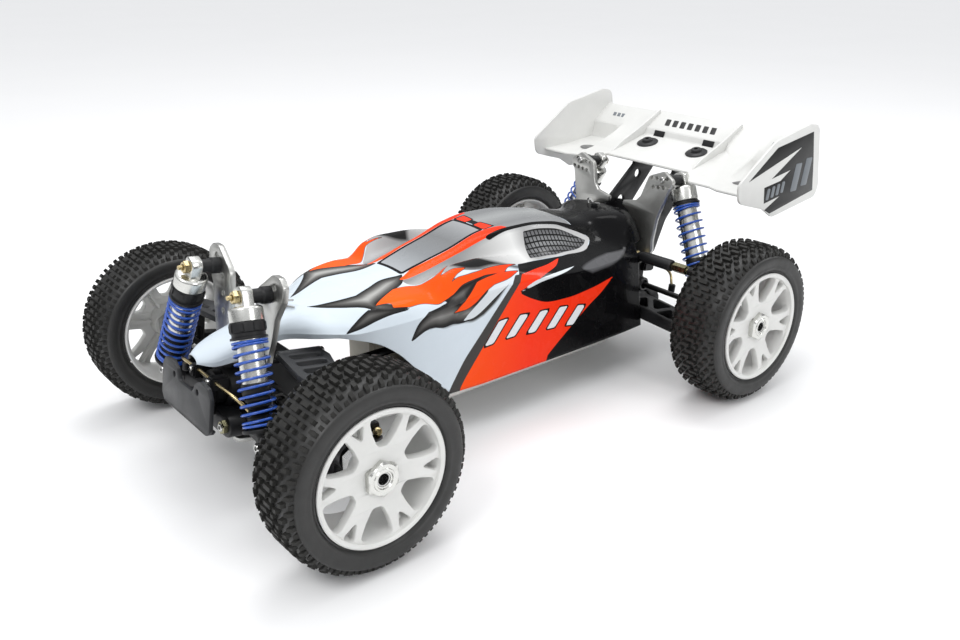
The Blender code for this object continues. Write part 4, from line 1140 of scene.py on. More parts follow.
def exhaust():
    piece = Piece("tuned_exhaust")
    profile = [(0, 0.2), (4.6, 0.2), (5, 1), (7, 12), (9.6, 22), (12.6, 33), (13, 36), (13, 54), (12.6, 57),
               (9, 68), (6, 76), (3.4, 80), (3, 81), (3, 89.6), (2.2, 90), (0, 84)]
    piece.add("polish", lathe(profile, (-40, 22, 46), (0, 1, 0), 44))
    for y in (58, 76):
        piece.add("steel", lathe([(12.9, 0), (13.2, 0), (13.2, 1.6), (12.9, 1.6)], (-40, y, 46),
                                 (0, 1, 0), 44))
    piece.ride("chassis", "tuned_pipe")


def tank_and_radio():
    base = 29.4
    tank = Piece("fuel_bottle")
    tank.add("tank", box((-46.8, -12.2), (-91.8, -42.2), (base, 73.8), 4.0))
    tank.add("black", lathe([(0, 72), (10.8, 72), (11, 73), (11, 84.5), (10, 85.8), (0, 85.8)],
                            (-30, -66, 0),
                            (0, 0, 1), 40))
    tank.ride("chassis", "fuel_tank")
    radio = Piece("receiver_box")
    radio.add("black", box((13.2, 46.8), (-83.8, 55.8), (base, 65.6), 2.4))
    radio.add("black", box((15, 45), (-81, 53), (64.5, 69.8), 1.8))
    for y in (-76, -14, 48):
        for x in (19, 41):
            socket_screw(radio, (x, y, 69.3), (0, 0, 1), 2.2, 0.5)
    radio.ride("chassis", "radio_box")


def centre_shaft():
    front = AXLE["front"].translation.y + 31
    rear = AXLE["rear"].translation.y - 32
    height = JOINTS["centre_drive_spin"]["pos_m"][2] / MM
    middle = 64.0
    teeth = 42
    outline = [polar(20.4 if step % 4 in (0, 3) else 22.0,
                     pi * step / (2 * teeth)) for step in range(4 * teeth)]
    piece = Piece("centre_differential", Matrix.Translation((0, 0, height)))
    gear = plate(outline, "v", middle - 3, middle + 3, [circle(polar(14, pi * n / 3), 2.6,
                                                               16) for n in range(6)],
                 0.1)
    piece.add("dark_steel", gear)
    start = middle - front
    profile = [(0, 0), (3, 0), (3, start - 9), (9, start - 9), (10, start - 7.5), (10, start + 7.5),
               (9, start + 9), (3, start + 9), (3, rear - front), (0, rear - front)]
    piece.add("dark_steel", lathe(profile, (0, front, 0), (0, 1, 0), 40))
    piece.ride("centre_drive", "centre_drive")


def add_middle():
    for end in ("front", "rear"):
        gearbox(end)
        sway_bar(end)
    wing_mount()
    steering()
    chassis()
    engine()
    exhaust()
    tank_and_radio()
    centre_shaft()


# ---------------------------------------------------------------- body shell

MIDDLE_Y = (AXLE["front"].translation.y + AXLE["rear"].translation.y) / 2
SECTIONS = [
    (-199, [(5.0, 83.6), (6.0, 84.6), (5.6, 85.4), (5.0, 86.1), (4.2, 86.7),
        (3.3, 87.1), (2.3, 87.4), (1.1, 87.6), (0, 87.7)]),
    (-190, [(11.8, 81.8), (13.0, 85.2), (12.6, 87.1), (11.5, 88.6), (9.9, 89.8),
        (7.9, 90.7), (5.7, 91.3), (2.8, 91.7), (0, 91.9)]),
    (-178, [(14.4, 83.2), (15.3, 88.0), (14.9, 90.3), (13.8, 92.2), (11.9, 93.5),
        (9.5, 94.4), (6.7, 95.0), (3.3, 95.4), (0, 95.6)]),
    (-160, [(14.4, 86.8), (14.9, 91.8), (14.6, 94.6), (13.6, 96.8), (11.8, 98.3),
        (9.4, 99.2), (6.6, 99.7), (3.2, 100.0), (0, 100.1)]),
    (-148, [(16.0, 89.0), (18.0, 93.5), (17.4, 96.2), (15.8, 98.6), (13.4, 100.1),
        (10.6, 100.8), (7.2, 101.2), (3.6, 101.5), (0, 101.6)]),
    (-132, [(30.0, 90.0), (33.0, 94.0), (30.0, 97.5), (25.5, 100.0), (20.5, 101.8),
        (15.5, 102.8), (10.5, 103.4), (5.2, 103.8), (0, 104.0)]),
    (-122, [(37.0, 90.0), (40.0, 93.5), (36.0, 97.0), (31.0, 99.5), (25.0, 101.5),
        (19.0, 103.0), (12.5, 104.0), (6.0, 104.8), (0, 105.1)]),
    (-112, [(43.0, 88.0), (46.0, 93.0), (42.5, 97.5), (37.0, 100.5), (30.0, 103.0),
        (22.0, 104.6), (14.5, 105.5), (7.0, 106.0), (0, 106.2)]),
    (-100, [(48.0, 84.0), (51.0, 94.5), (47.5, 101.0), (42.5, 104.3), (35.0, 106.0),
        (26.0, 106.8), (17.0, 107.2), (8.5, 107.6), (0, 107.8)]),
    (-88, [(51.0, 76.0), (54.0, 95.5), (50.5, 103.0), (44.5, 107.0), (36.0, 108.0),
        (27.0, 108.3), (18.0, 108.5), (9.0, 108.8), (0, 109.0)]),
    (-72, [(54.0, 59.0), (57.0, 97.0), (53.0, 104.0), (46.0, 108.0), (37.0, 108.6),
        (27.0, 108.9), (18.0, 109.6), (9.0, 110.2), (0, 110.6)]),
    (-60, [(55.6, 48.0), (58.5, 98.0), (54.0, 103.5), (46.0, 107.4), (37.0, 108.0),
        (27.0, 108.3), (18.5, 110.2), (9.0, 111.2), (0, 111.6)]),
    (-47, [(56.5, 37.0), (59.5, 99.5), (55.0, 107.0), (48.0, 115.5), (39.5, 116.0),
        (29.0, 110.5), (18.3, 113.8), (9.0, 114.4), (0, 114.6)]),
    (-36, [(56.8, 36.5), (60.0, 101.5), (55.5, 109.5), (48.0, 118.0), (40.0, 119.8),
        (30.0, 112.5), (19.4, 116.8), (9.5, 117.2), (0, 117.4)]),
    (-18, [(57.0, 36.0), (60.5, 103.5), (56.0, 110.5), (48.0, 117.5), (40.0, 120.0),
        (31.0, 114.5), (21.3, 121.0), (10.5, 121.7), (0, 122.0)]),
    (6, [(57.0, 36.0), (60.8, 104.0), (56.0, 109.5), (48.5, 114.5), (41.0, 117.2),
        (33.0, 116.0), (24.0, 127.3), (12.0, 128.6), (0, 128.9)]),
    (24, [(57.0, 36.0), (60.6, 102.5), (56.0, 106.5), (49.0, 110.5), (42.0, 113.5),
        (35.0, 117.0), (26.0, 129.0), (13.0, 130.5), (0, 130.8)]),
    (44, [(57.0, 36.0), (60.0, 100.5), (55.5, 103.5), (48.5, 107.0), (42.0, 110.5),
        (35.0, 117.0), (26.0, 128.6), (13.0, 130.6), (0, 131.0)]),
    (66, [(56.8, 36.0), (58.5, 98.0), (54.0, 100.5), (47.0, 104.0), (40.5, 108.0),
        (33.5, 115.0), (25.0, 126.0), (12.5, 128.6), (0, 129.2)]),
    (90, [(56.5, 36.0), (56.0, 96.0), (51.0, 98.5), (43.0, 101.5), (36.0, 105.0),
        (29.5, 111.5), (21.5, 121.5), (11.0, 124.8), (0, 125.8)]),
    (115, [(56.0, 36.0), (53.0, 96.0), (46.5, 98.8), (38.5, 101.5), (32.0, 105.0),
        (26.0, 110.5), (19.0, 117.5), (9.5, 120.6), (0, 121.3)]),
    (139, [(54.5, 36.0), (48.0, 90.0), (43.5, 98.5), (40.0, 106.0), (36.5, 112.5),
        (31.5, 117.5), (24.0, 120.4), (12.0, 120.8), (0, 120.6)]),
    (152, [(53.5, 36.0), (45.0, 88.0), (40.0, 96.5), (36.0, 104.0), (32.5, 110.5),
        (28.0, 115.8), (21.5, 118.8), (11.0, 119.4), (0, 119.4)]),
]
LENGTH_STEPS = 240
SHELL_REAR_CUT_Y = 140.5
SHELL_REAR_CUT_Z = 99.5
HEM_STEPS = 30
TOP_STEPS = 84


def monotone(places, values, at):
    """Monotone cubic interpolation of values at their places, worked out at other places."""
    places, values, at = np.array(places, float), np.array(values, float), np.array(at, float)
    gaps = np.diff(places)
    slopes = np.diff(values) / gaps
    tangents = np.zeros_like(values)
    for index in range(1, len(values) - 1):
        before, after = slopes[index - 1], slopes[index]
        if before * after > 0:
            first = 2 * gaps[index] + gaps[index - 1]
            second = gaps[index] + 2 * gaps[index - 1]
            tangents[index] = (first + second) / (first / before + second / after)
    tangents[0], tangents[-1] = slopes[0], slopes[-1]
    cell = np.clip(np.searchsorted(places, at) - 1, 0, len(gaps) - 1)
    t = (at - places[cell]) / gaps[cell]
    width = gaps[cell]
    return (values[cell] * (1 + 2 * t) * (1 - t) ** 2 + tangents[cell] * width * t * (1 - t) ** 2
            + values[cell + 1] * t * t * (3 - 2 * t) + tangents[cell + 1] * width * t * t * (t - 1))


def shell_grid():
    """Points of the left half of the shell: rows along the car, columns from the hem to the middle."""
    ys = [y for y, _ in SECTIONS]
    rows = np.linspace(ys[0], ys[-1], LENGTH_STEPS + 1)
    controls = np.array([[(x, z) for x, z in half] for _, half in SECTIONS], float)
    count = controls.shape[1]
    lines = np.zeros((len(rows), count, 2))
    for column in range(count):
        for axis in range(2):
            lines[:, column, axis] = monotone(ys, controls[:, column, axis], rows)
    share = np.concatenate([np.linspace(0, 1, HEM_STEPS + 1)[:-1],
                            1 + (count - 2) * np.linspace(0, 1, TOP_STEPS + 1)])
    grid = np.zeros((len(rows), len(share), 3))
    for index, y in enumerate(rows):
        for axis in range(2):
            top = lines[index, 1:, axis]
            mirror = -1 if axis == 0 else 1
            whole = np.concatenate([top, mirror * top[-2::-1]])
            places = np.arange(len(whole)) + 1.0
            smooth = catmull(places, whole, share[share >= 1])
            hem = np.interp(share[share < 1], [0, 1], lines[index, :2, axis])
            grid[index, :, 2 * axis] = np.concatenate([hem, smooth])
        grid[index, :, 1] = y + MIDDLE_Y
    return grid


def catmull(places, values, at):
    slopes = np.gradient(values, places)
    cell = np.clip(np.searchsorted(places, at, side="right") - 1, 0, len(values) - 2)
    t = at - places[cell]
    return (values[cell] * (1 + 2 * t) * (1 - t) ** 2 + slopes[cell] * t * (1 - t) ** 2
            + values[cell + 1] * t * t * (3 - 2 * t) + slopes[cell + 1] * t * t * (t - 1))


# Paint outlines on one half of the shell, as (y from the middle of the wheelbase, distance from the
# centre line over the surface). Each stroke is smooth, and strokes meet in sharp tips.
PAINT = {
    "black": [[[(78, -5), (82, 12), (90, 25)], [(97, 29), (103, 35), (99, 41)], [(90, 46), (62, 53),
                                                                                 (32, 55)],
               [(14, 57)], [(9, 66)], [(-46, 140)], [(-46, 190)], [(190, 190)], [(190, -5)]]],
    # White: thin streaks along the belt crease, a painted highlight.
    "white": [[[(22, 72), (48, 68), (66, 64)], [(50, 70), (26, 74)], [(8, 79)]],
              [[(-13, 66), (-24, 74), (-41, 86)], [(-30, 86), (-12, 76), (6, 66)]]],
    "charcoal": [[[(5.5, 66)], [(11.5, 66)], [(-41, 134)], [(-44, 190)], [(-60, 190)], [(-51, 129)]]],
    # Grey patch on the black tail where its air intake catches light: a painted highlight, as the intake has
    # no shape of its own.
    "scoop_highlight": [[[(71, 67), (90, 58), (107, 52.5)], [(128, 52.5)], [(106, 64), (92, 68), (80, 71)]]],
    "red": [[[(11.5, 66)], [(26, 63), (42, 60), (57, 55)], [(47, 63), (28, 70), (6, 79)],
             [(19, 85), (35, 90), (57, 89), (83, 82), (105, 74)], [(92, 86), (75, 99), (38, 132)],
             [(24, 190)],
             [(-57, 190)], [(-41, 134)]]],
    "silver": [[[(-62, 18), (-61, 26), (-58, 31)], [(-50, 40), (-42, 50)], [(-15, 56), (12, 57), (34, 54.5)],
                [(60, 53), (90, 47), (101, 38)], [(103, 34), (92, 28), (86, 20)], [(82, 12), (78, -5)],
                [(18, -5)], [(14, 17)], [(-28, 18), (-62, 18)]]],
    "crest": [[[(-40, 46), (-28, 37), (-17, 33)], [(-11, 45), (4, 54), (15, 57), (31, 59)],
               [(13, 63), (-4, 57), (-19, 56)], [(-30, 53), (-40, 46)]]],
    "shade": [[[(-53, 62), (-44, 60), (-35, 58)], [(-26, 55), (-12, 58), (6, 66)], [(-2, 71), (-12, 81),
                                                                                    (-23, 88)],
               [(-34, 90), (-47, 84), (-60, 73)], [(-70, 72), (-65, 66)], [(-53, 62)]]],
    "bridge": [[[(12.4, 6)], [(17.6, 6)], [(17.6, -6)], [(12.4, -6)]]],
    "smoke": [[[(-127, 10), (-107, 18), (-97, 21)], [(-85, 17), (-72, 12.5), (-57, 15)],
               [(-63, 24), (-78, 33), (-93, 40)], [(-87, 46), (-77, 54)], [(-94, 49), (-104, 34),
                                                                           (-127, 10)]],
              [[(-119, 45), (-109, 42), (-101, 41)], [(-90, 48), (-77, 55)], [(-99, 51), (-107, 49),
                                                                              (-119, 45)]],
              [[(-79, 77), (-74, 66), (-66, 60)], [(-56, 60), (-47, 67), (-41, 74)],
               [(-28, 76), (-14, 70), (4, 66)], [(-12, 77), (-26, 84)], [(-40, 87), (-62, 72), (-79, 77)]],
              [[(-53, 59), (-42, 63), (-17, 60)], [(-28, 64), (-38, 71), (-47, 69)]]],
    "flame": [[[(-95, 41), (-86, 36), (-74, 29.5)], [(-62, 30), (-54, 37)], [(-48, 43), (-36, 42.5)],
               [(-44, 45), (-48, 47)], [(-40, 49), (-29, 51)], [(-35, 53), (-45, 56)],
               [(-34, 56.5), (-10, 56), (12, 57)], [(4, 58.5), (-2, 62)], [(-10, 61), (-18, 60)],
               [(-32, 61), (-46, 63), (-54, 59)], [(-66, 54), (-77, 53)], [(-87, 49)], [(-87, 45),
                                                                                        (-95, 41)]],
              [[(-48, 74), (-38, 72), (-26, 63)], [(-16, 62), (-2, 62)], [(10, 63)], [(-1, 67), (-14, 68)],
               [(-23, 71), (-30, 76)], [(-38, 78.5), (-48, 74)]]],
    "pillar": [[[(-62, 20), (-44, 23.5), (-19, 24.5)], [(5, 26), (27, 25)], [(24, 20)], [(12, 17)],
                [(-28, 17.2), (-51, 15.2)]]],
    "blocks": [[[(12, 4.5)], [(18, 4.5)], [(20, 16)], [(12, 16)]]],
    "band": [[[(8, 25), (26, 24.4), (48, 24.2), (73, 24)], [(93, 26), (108, 34)], [(92, 29.5), (73, 26.4)],
              [(48, 26.2), (26, 26.6), (8, 28)]]],
    "net": [[[(37, 30.5)], [(65, 30), (83, 32), (98, 37)], [(92, 42), (79, 47), (57, 51.5)], [(31, 52)]]],
    "glass": [[[(-55.5, 12.6)], [(-25, 14.6), (9, 14.6)], [(10, -30)], [(-55.5, -30)]]],
    "bars": [[[(x, 111)], [(x + 12, 96)], [(x + 20, 96)], [(x + 8, 111)]] for x in (-22, -3, 16, 35, 54)],
}


def drawn(strokes):
    """Closed outline of smooth strokes, each starting where the last one stopped."""
    line = []
    start = strokes[-1][-1]
    for stroke in strokes:
        path = smoothed([(*point, 0) for point in [start, *stroke]], 5)
        line += [(point.x, point.y) for point in path[:-1]]
        start = stroke[-1]
    return line


def signed_distance(spots, outline):
    """Distance of each spot from a closed outline, negative inside it."""
    inside = np.zeros(len(spots), bool)
    nearest = np.full(len(spots), 1e6)
    for start, stop in zip(outline, outline[1:] + outline[:1]):
        start, stop = np.array(start), np.array(stop)
        along = stop - start
        size = max(along @ along, 1e-9)
        share = np.clip((spots - start) @ along / size, 0, 1)
        nearest = np.minimum(nearest, np.linalg.norm(spots - start - share[:, None] * along, axis=1))
        if stop[1] != start[1]:
            above = (start[1] > spots[:, 1]) != (stop[1] > spots[:, 1])
            meets = start[0] + along[0] * (spots[:, 1] - start[1]) / along[1]
            inside ^= above & (spots[:, 0] < meets)
    return np.where(inside, -nearest, nearest)


def paint_layers(mesh, grid):
    """Store how far each point of the shell lies from every paint outline."""
    steps = np.linalg.norm(np.diff(grid, axis=1), axis=2)
    over = np.zeros(grid.shape[:2])
    over[:, :-1] = np.cumsum(steps[:, ::-1], axis=1)[:, ::-1]
    along = grid[:, :, 1] - MIDDLE_Y
    half = np.stack([along, over], axis=2)
    whole = np.concatenate([half, half[:, -2::-1]], axis=1).reshape(-1, 2)
    values = {"along": whole[:, 0], "over": whole[:, 1]}
    for name, outlines in PAINT.items():
        layers = [signed_distance(whole, drawn(strokes)) for strokes in outlines]
        values[name] = np.min(layers, axis=0)
    for name, value in values.items():
        layer = mesh.attributes.new("paint_" + name, "FLOAT", "POINT")
        layer.data.foreach_set("value", value.astype(np.float32))


SHARP = 0.12


class Paint(Finish):
    """Layers of paint that follow the distances stored on the shell."""

    def stored(self, name):
        return self.node("ShaderNodeAttribute", attribute_name="paint_" + name).outputs["Fac"]

    def ranged(self, value, low, high):
        """1 below low, 0 above high."""
        return self.mapped(value, low, high, 1.0, 0.0)

    def inside(self, name, grow=0.0, soft=SHARP):
        return self.ranged(self.stored(name), grow - soft, grow + soft)

    def ramp(self, value, low, high, stops):
        """Colours against a value, from low to high."""
        ramp = self.node("ShaderNodeValToRGB")
        for number, (spot, colour) in enumerate(stops):
            element = ramp.color_ramp.elements[number] if number < 2 else ramp.color_ramp.elements.new(spot)
            element.position = spot
            element.color = (*colour, 1.0)
        self.link(self.mapped(value, low, high, 0.0, 1.0), ramp.inputs["Fac"])
        return ramp.outputs["Color"]

    def stripes(self, name, pitch, share):
        """1 on thin lines at every pitch of a stored value."""
        wrapped = self.node("ShaderNodeMath", operation="PINGPONG")
        wrapped.inputs[1].default_value = pitch / 2
        self.link(self.stored(name), wrapped.inputs[0])
        return self.ranged(wrapped.outputs["Value"], pitch * share / 2, pitch * share / 2 + 0.15)

    def either(self, first, second):
        larger = self.node("ShaderNodeMath", operation="MAXIMUM")
        self.link(first, larger.inputs[0])
        self.link(second, larger.inputs[1])
        return larger.outputs["Value"]


WHITE_PAINT = (0.62, 0.69, 0.75)
BLACK_PAINT = (0.002, 0.002, 0.0025)
CHARCOAL_PAINT = (0.055, 0.052, 0.05)


def shell_finish():
    """Airbrushed livery: white nose, black tail, orange flames with smoke round them, silver cabin. The
    silver's light and dark bands, the window's changing tone, a grey intake patch on the tail and white
    streaks along the belt crease are painted reflection and painted highlight.
    """
    paint = Paint("shell_paint", WHITE_PAINT, 0.25, coat=0.1, coat_roughness=0.03)
    paint.set("Specular IOR Level", 0.04)
    cloud = paint.noise(55, 4)
    colour = paint.mix(cloud, WHITE_PAINT, (0.67, 0.74, 0.80))
    tail = paint.mix(cloud, BLACK_PAINT, (0.005, 0.005, 0.0055))
    colour = paint.mix(paint.inside("black"), colour, tail)
    # Silver paint with painted reflection: lighter along the centre line of the top and darker towards its
    # sides, and on the cabin sides a dark band towards the front and a bright painted highlight behind the
    # middle.
    silver_top_painted_reflection = paint.ramp(paint.stored("over"), 0, 56, [
        (0.0, (0.33, 0.34, 0.34)), (1.0, (0.16, 0.16, 0.16)), (0.28, (0.22, 0.225, 0.23)),
        (0.46, (0.26, 0.265, 0.27)), (0.75, (0.45, 0.455, 0.45))])
    silver_side_painted_reflection = paint.ramp(paint.stored("along"), -50, 60, [
        (0.0, (0.42, 0.42, 0.42)), (1.0, (0.50, 0.50, 0.50)), (0.25, (0.22, 0.22, 0.22)),
        (0.68, (0.70, 0.70, 0.69)), (0.8, (0.36, 0.36, 0.36))])
    side = paint.ranged(paint.stored("over"), 30, 24)
    smoke = paint.ramp(paint.stored("smoke"), -8.5, 0.0, [
        (0.0, (0.40, 0.40, 0.385)), (1.0, (0.010, 0.010, 0.011)), (0.45, (0.13, 0.127, 0.122)),
        (0.8, (0.028, 0.027, 0.026))])
    warm = paint.ramp(paint.stored("along"), -80, 20, [
        (0.0, (1.0, 0.115, 0.006)), (1.0, (0.90, 0.038, 0.010))])
    net = paint.either(paint.stripes("along", 3.6, 0.26), paint.stripes("over", 4.4, 0.24))
    cells = paint.ramp(paint.stored("net"), -9, 0, [(0.0, (0.24, 0.245, 0.25)), (1.0, (0.10, 0.10, 0.105))])
    # Window tint, lighter at both ends of the window and darker in the middle: painted reflection.
    glass = paint.ramp(paint.stored("along"), -58, 12, [
        (0.0, (0.40, 0.42, 0.44)), (1.0, (0.36, 0.37, 0.38)), (0.35, (0.24, 0.25, 0.26)),
        (0.65, (0.20, 0.205, 0.21))])
    # Each layer covers those before it: the outline's name, its finish, how far it grows, how soft it is.
    layers = [
        # Silver: painted reflection and painted highlight on the silver paint of the cabin's top and sides.
        ("silver", paint.mix(side, silver_top_painted_reflection, silver_side_painted_reflection), 0.0, SHARP),
        ("shade", (0.035, 0.034, 0.033), -1.0, 1.0),
        ("crest", (0.012, 0.012, 0.012), -1.6, 1.6),
        # Grey intake patch on the tail: painted highlight.
        ("scoop_highlight", (0.10, 0.10, 0.105), 0.0, 1.2),
        ("charcoal", CHARCOAL_PAINT, 0.0, SHARP),
        ("smoke", smoke, 0.0, SHARP),
        ("red", warm, 0.0, SHARP),
        # White streaks along the belt crease: painted highlight.
        ("white", (0.66, 0.70, 0.73), 0.0, SHARP),
        ("flame", (0.05, 0.02, 0.015), 0.45, 0.25),
        ("flame", warm, 0.0, SHARP),
        ("pillar", warm, 0.0, SHARP),
        ("band", tail, 0.5, SHARP),
        ("net", paint.mix(net, cells, (0.012, 0.012, 0.012)), 0.0, SHARP),
        ("glass", tail, 2.4, SHARP),
        # Window: tint with painted reflection.
        ("glass", glass, 0.0, SHARP),
        ("blocks", tail, 1.2, SHARP),
        ("bridge", tail, 0.0, SHARP),
        ("blocks", warm, 0.0, SHARP),
        ("bars", tail, 1.1, SHARP),
        ("bars", (0.74, 0.76, 0.78), 0.0, SHARP),
    ]
    for name, cover, grow, soft in layers:
        colour = paint.mix(paint.inside(name, grow, soft), colour, cover)
    paint.link(colour, paint.shader.inputs["Base Color"])
    paint.vary_roughness(paint.noise(70, 3), 0.2, 0.32)
    FINISHES["paint"] = paint


def body_shell():
    grid = shell_grid()
    rows = len(grid)
    whole = np.concatenate([grid, (grid * (-1, 1, 1))[:, -2::-1]], axis=1)
    width = whole.shape[1]
    points = (whole.reshape(-1, 3) * MM).tolist()
    faces = []
    for row in range(rows - 1):
        for column in range(width - 1):
            low = row * width + column
            faces.append((low, low + width, low + width + 1, low + 1))
    mesh = bpy.data.meshes.new("painted_shell")
    mesh.from_pydata(points, [], faces)
    paint_layers(mesh, grid)
    shape = bmesh.new()
    shape.from_mesh(mesh)
    behind = (SHELL_REAR_CUT_Y + MIDDLE_Y) * MM
    cut = [face for face in shape.faces
           if face.calc_center_median().y > behind and face.calc_center_median().z < SHELL_REAR_CUT_Z * MM]
    bmesh.ops.delete(shape, geom=cut, context="FACES")
    shape.to_mesh(mesh)
    shape.free()
    mesh.shade_smooth()
    mesh.materials.append(FINISHES["paint"].material)
    mesh.materials.append(FINISHES["inside"].material)
    item = bpy.data.objects.new("painted_shell", mesh)
    bpy.context.collection.objects.link(item)
    thick = item.modifiers.new("thickness", "SOLIDIFY")
    thick.thickness = 1.2 * MM
    thick.offset = -1
    thick.material_offset = 1
    thick.material_offset_rim = 1
    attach(item, "chassis")
    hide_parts("body_shell")


def body_clips():
    """Posts that carry the shell and the sprung wire clips through them."""
    wire = [(9, 0, 0), (-8, 0, 0), (-11, 0, 1.4), (-11.6, 0, 3.6), (-8.4, 0, 4.8), (-3, 0, 3.2),
            (0, 0, 2.8),
            (3, 0, 3.6), (8.4, 0, 4.8)]
    piece = Piece("body_posts_and_clips")
    for y, z, turn in ((-164, 104.6, 25), (112, 120.0, -20)):
        base = Matrix.Translation((0, y, z)) @ Matrix.Rotation(radians(turn), 4, "Z")
        clip = tube(smoothed(wire, 5), 0.65, 8)
        clip.transform(base)
        piece.add("steel", clip)
        piece.add("black", rod((0, y, z - 9), (0, y, z + 3.4), 2.6, 20, 0.8))
        piece.add("black", lathe([(0, -3.6), (4.6, -3.6), (4.2, -2.6), (0, -2.6)], (0, y, z),
                                 (0, 0, 1), 28))
    piece.ride("chassis")


# ---------------------------------------------------------------- wing


WING_SIDE = [(-90, 142.5), (-60, 143.5), (-31, 146.5), (-27.5, 160.0), (-10, 174.5)]
WING_RAMP = [(-88, 143.0), (-62, 147.0), (-38, 157.0), (-27, 162.5), (-10, 174.8)]
WING_MIDDLE = [(-78, 147.0), (-56, 152.6), (-33, 158.5), (-31, 163.5), (-10, 176.0)]
WING_END = [(-7, 185.5), (-19, 187.5), (-62, 179.5), (-102, 153), (-100, 139), (-82, 133.5), (-70, 130),
            (-57, 121.5), (-2, 128.5), (2, 136)]
END_PANEL = [(-59.3, 174.7), (-14.7, 181.2), (-10.3, 160), (-6.2, 134.6), (-60.7, 125.2), (-67.7, 129),
             (-49.8, 137), (-69.3, 134.3), (-70.8, 146.5), (-51, 148.8), (-39.5, 155.4), (-62.5, 152),
             (-27.5, 171.3), (-90.7, 154)]
WING_THICK = 1.8


def wing_plane():
    """Main plane: dipped outer bays with a riser, and a raised middle bay."""
    columns = [(108, WING_SIDE), (80, WING_SIDE), (72, WING_RAMP), (52, WING_RAMP), (43.5, WING_MIDDLE),
               (0, WING_MIDDLE)]
    columns += [(-x, line) for x, line in columns[-2::-1]]
    rings = []
    for x, line in columns:
        top = [(x, REAR_END + y, z) for y, z in line]
        rings.append(top + [(x, y + 0.4, z - WING_THICK) for x, y, z in reversed(top)])
    count = len(rings[0])
    points = [point for ring in rings for point in ring]
    last = (len(rings) - 1) * count
    faces = [list(range(count)), list(range(last, last + count))]
    for start in range(0, last, count):
        for index in range(count):
            after = (index + 1) % count
            faces.append([start + index, start + after, start + after + count, start + index + count])
    return soften(mesh_of(points, faces), 0.55, 14, 3)


def slanted(y, z, width, height, lean):
    """Four corners of a leaning bar, the generic print that stands in for lettering."""
    return [(y, z), (y + width, z), (y + width + lean, z + height), (y + lean, z + height)]


def rear_wing():
    rear = REAR_END
    piece = Piece("rear_wing_moulding")
    piece.add("white", wing_plane())
    outline = rounded([(rear + y, z) for y, z in WING_END], [8, 8, 18, 6, 8, 8, 8, 8, 6, 20], 5)
    for hand in (1, -1):
        low, high = sorted((hand * 107.0, hand * 109.2))
        piece.add("white", plate(outline, "x", low, high, (), 0.6))
        fin = [(rear - 77, 146), (rear - 54, 151), (rear - 34, 157), (rear - 12, 174), (rear - 13.5, 177.4),
               (rear - 36, 166), (rear - 62, 155)]
        piece.add("white", plate(rounded(fin, [3, 8, 8, 2, 2, 12, 12]), "x", hand * 43 - 0.9,
                                 hand * 43 + 0.9,
                                 (), 0.5))
    piece.ride("chassis", "rear_wing")
    wing_prints()


def wing_prints():
    """End plate panels and bars, printed rows on the lips, washers, vents and dark oval discs."""
    rear = REAR_END
    prints = Piece("wing_prints")
    for hand in (1, -1):
        face = hand * 109.2
        low, high = sorted((face - hand * 0.1, face + hand * 0.12))
        panel = [(rear + y, z) for y, z in END_PANEL]
        prints.add("panel", plate(panel, "x", low, high, (), 0.02))
        bars = [slanted(rear - 37 + 13 * n, 138 + 2.5 * n, 8, 21, 4) for n in range(2)]
        bars += [slanted(rear - 68 + 6 * n, 136.5 + 0.9 * n, 3.6, 8.5, 1.5) for n in range(4)]
        for bar in bars:
            low, high = sorted((face, face + hand * 0.22))
            prints.add("print", plate(rounded(bar, 1.2), "x", low, high, (), 0.02))
    lip = Matrix.Translation((0, rear - 31, 163.5)) @ Matrix.Rotation(atan2(12.5, 21), 4, "X")
    for number in range(7):
        bar = plate(rounded(slanted(-27 + 8 * number, 6.5, 5, 8, -3), 0.8), "w", -0.02, 0.12, (), 0.01)
        bar.transform(lip)
        prints.add("panel", bar)
    for hand in (1, -1):
        for number in range(6):
            bar = plate(slanted(hand * 77 - 15 + 5 * number, 9, 3.4, 4, -1), "w", 0.0, 0.1, (), 0.01)
            slope = atan2(14.5, 17.5)
            bar.transform(Matrix.Translation((0, rear - 27.5, 160.0)) @ Matrix.Rotation(slope, 4, "X"))
            prints.add("print", bar)
    prints.ride("chassis")
    trim = Piece("wing_fittings")
    shelf = atan2(5.9, 23)
    up = (0, -sin(shelf), cos(shelf))
    washer = [(0, -2.5), (4.2, -2.5), (8.8, -0.2), (9.0, 0.4), (8.0, 1.2), (4.8, 1.8), (4.4, 3.2),
              (3.6, 3.8),
              (1.6, 3.8), (1.5, 2.6), (0, 2.6)]
    for hand in (1, -1):
        spot = (hand * 26, rear - 47, 155.0)
        trim.add("black", lathe(washer, spot, up, 28))
        vent = [(hand * 26 - 5.5, 0), (hand * 26 + 5.5, 0), (hand * 26 + 5.5, 5.2), (hand * 26 - 5.5, 5.2)]
        cover = plate(vent, "w", 0, 0.3, (), 0.05)
        cover.transform(Matrix.Translation((0, rear - 33.6, 158.2)) @ Matrix.Rotation(radians(66), 4, "X"))
        trim.add("black", cover)
        # Dark oval discs on the outer bays of the plane.
        disc = lathe([(0, -0.2), (7.8, -0.2), (8.0, 0.2), (7.4, 0.5), (0, 0.5)], (0, 0, 0), (0, 0, 1), 32)
        disc.transform(Matrix.Translation((hand * 80, rear - 60, 143.6)) @ Matrix.Diagonal((1.25, 1, 1, 1)))
        trim.add("dark_oval", disc)
    trim.ride("chassis")


# ---------------------------------------------------------------- studio


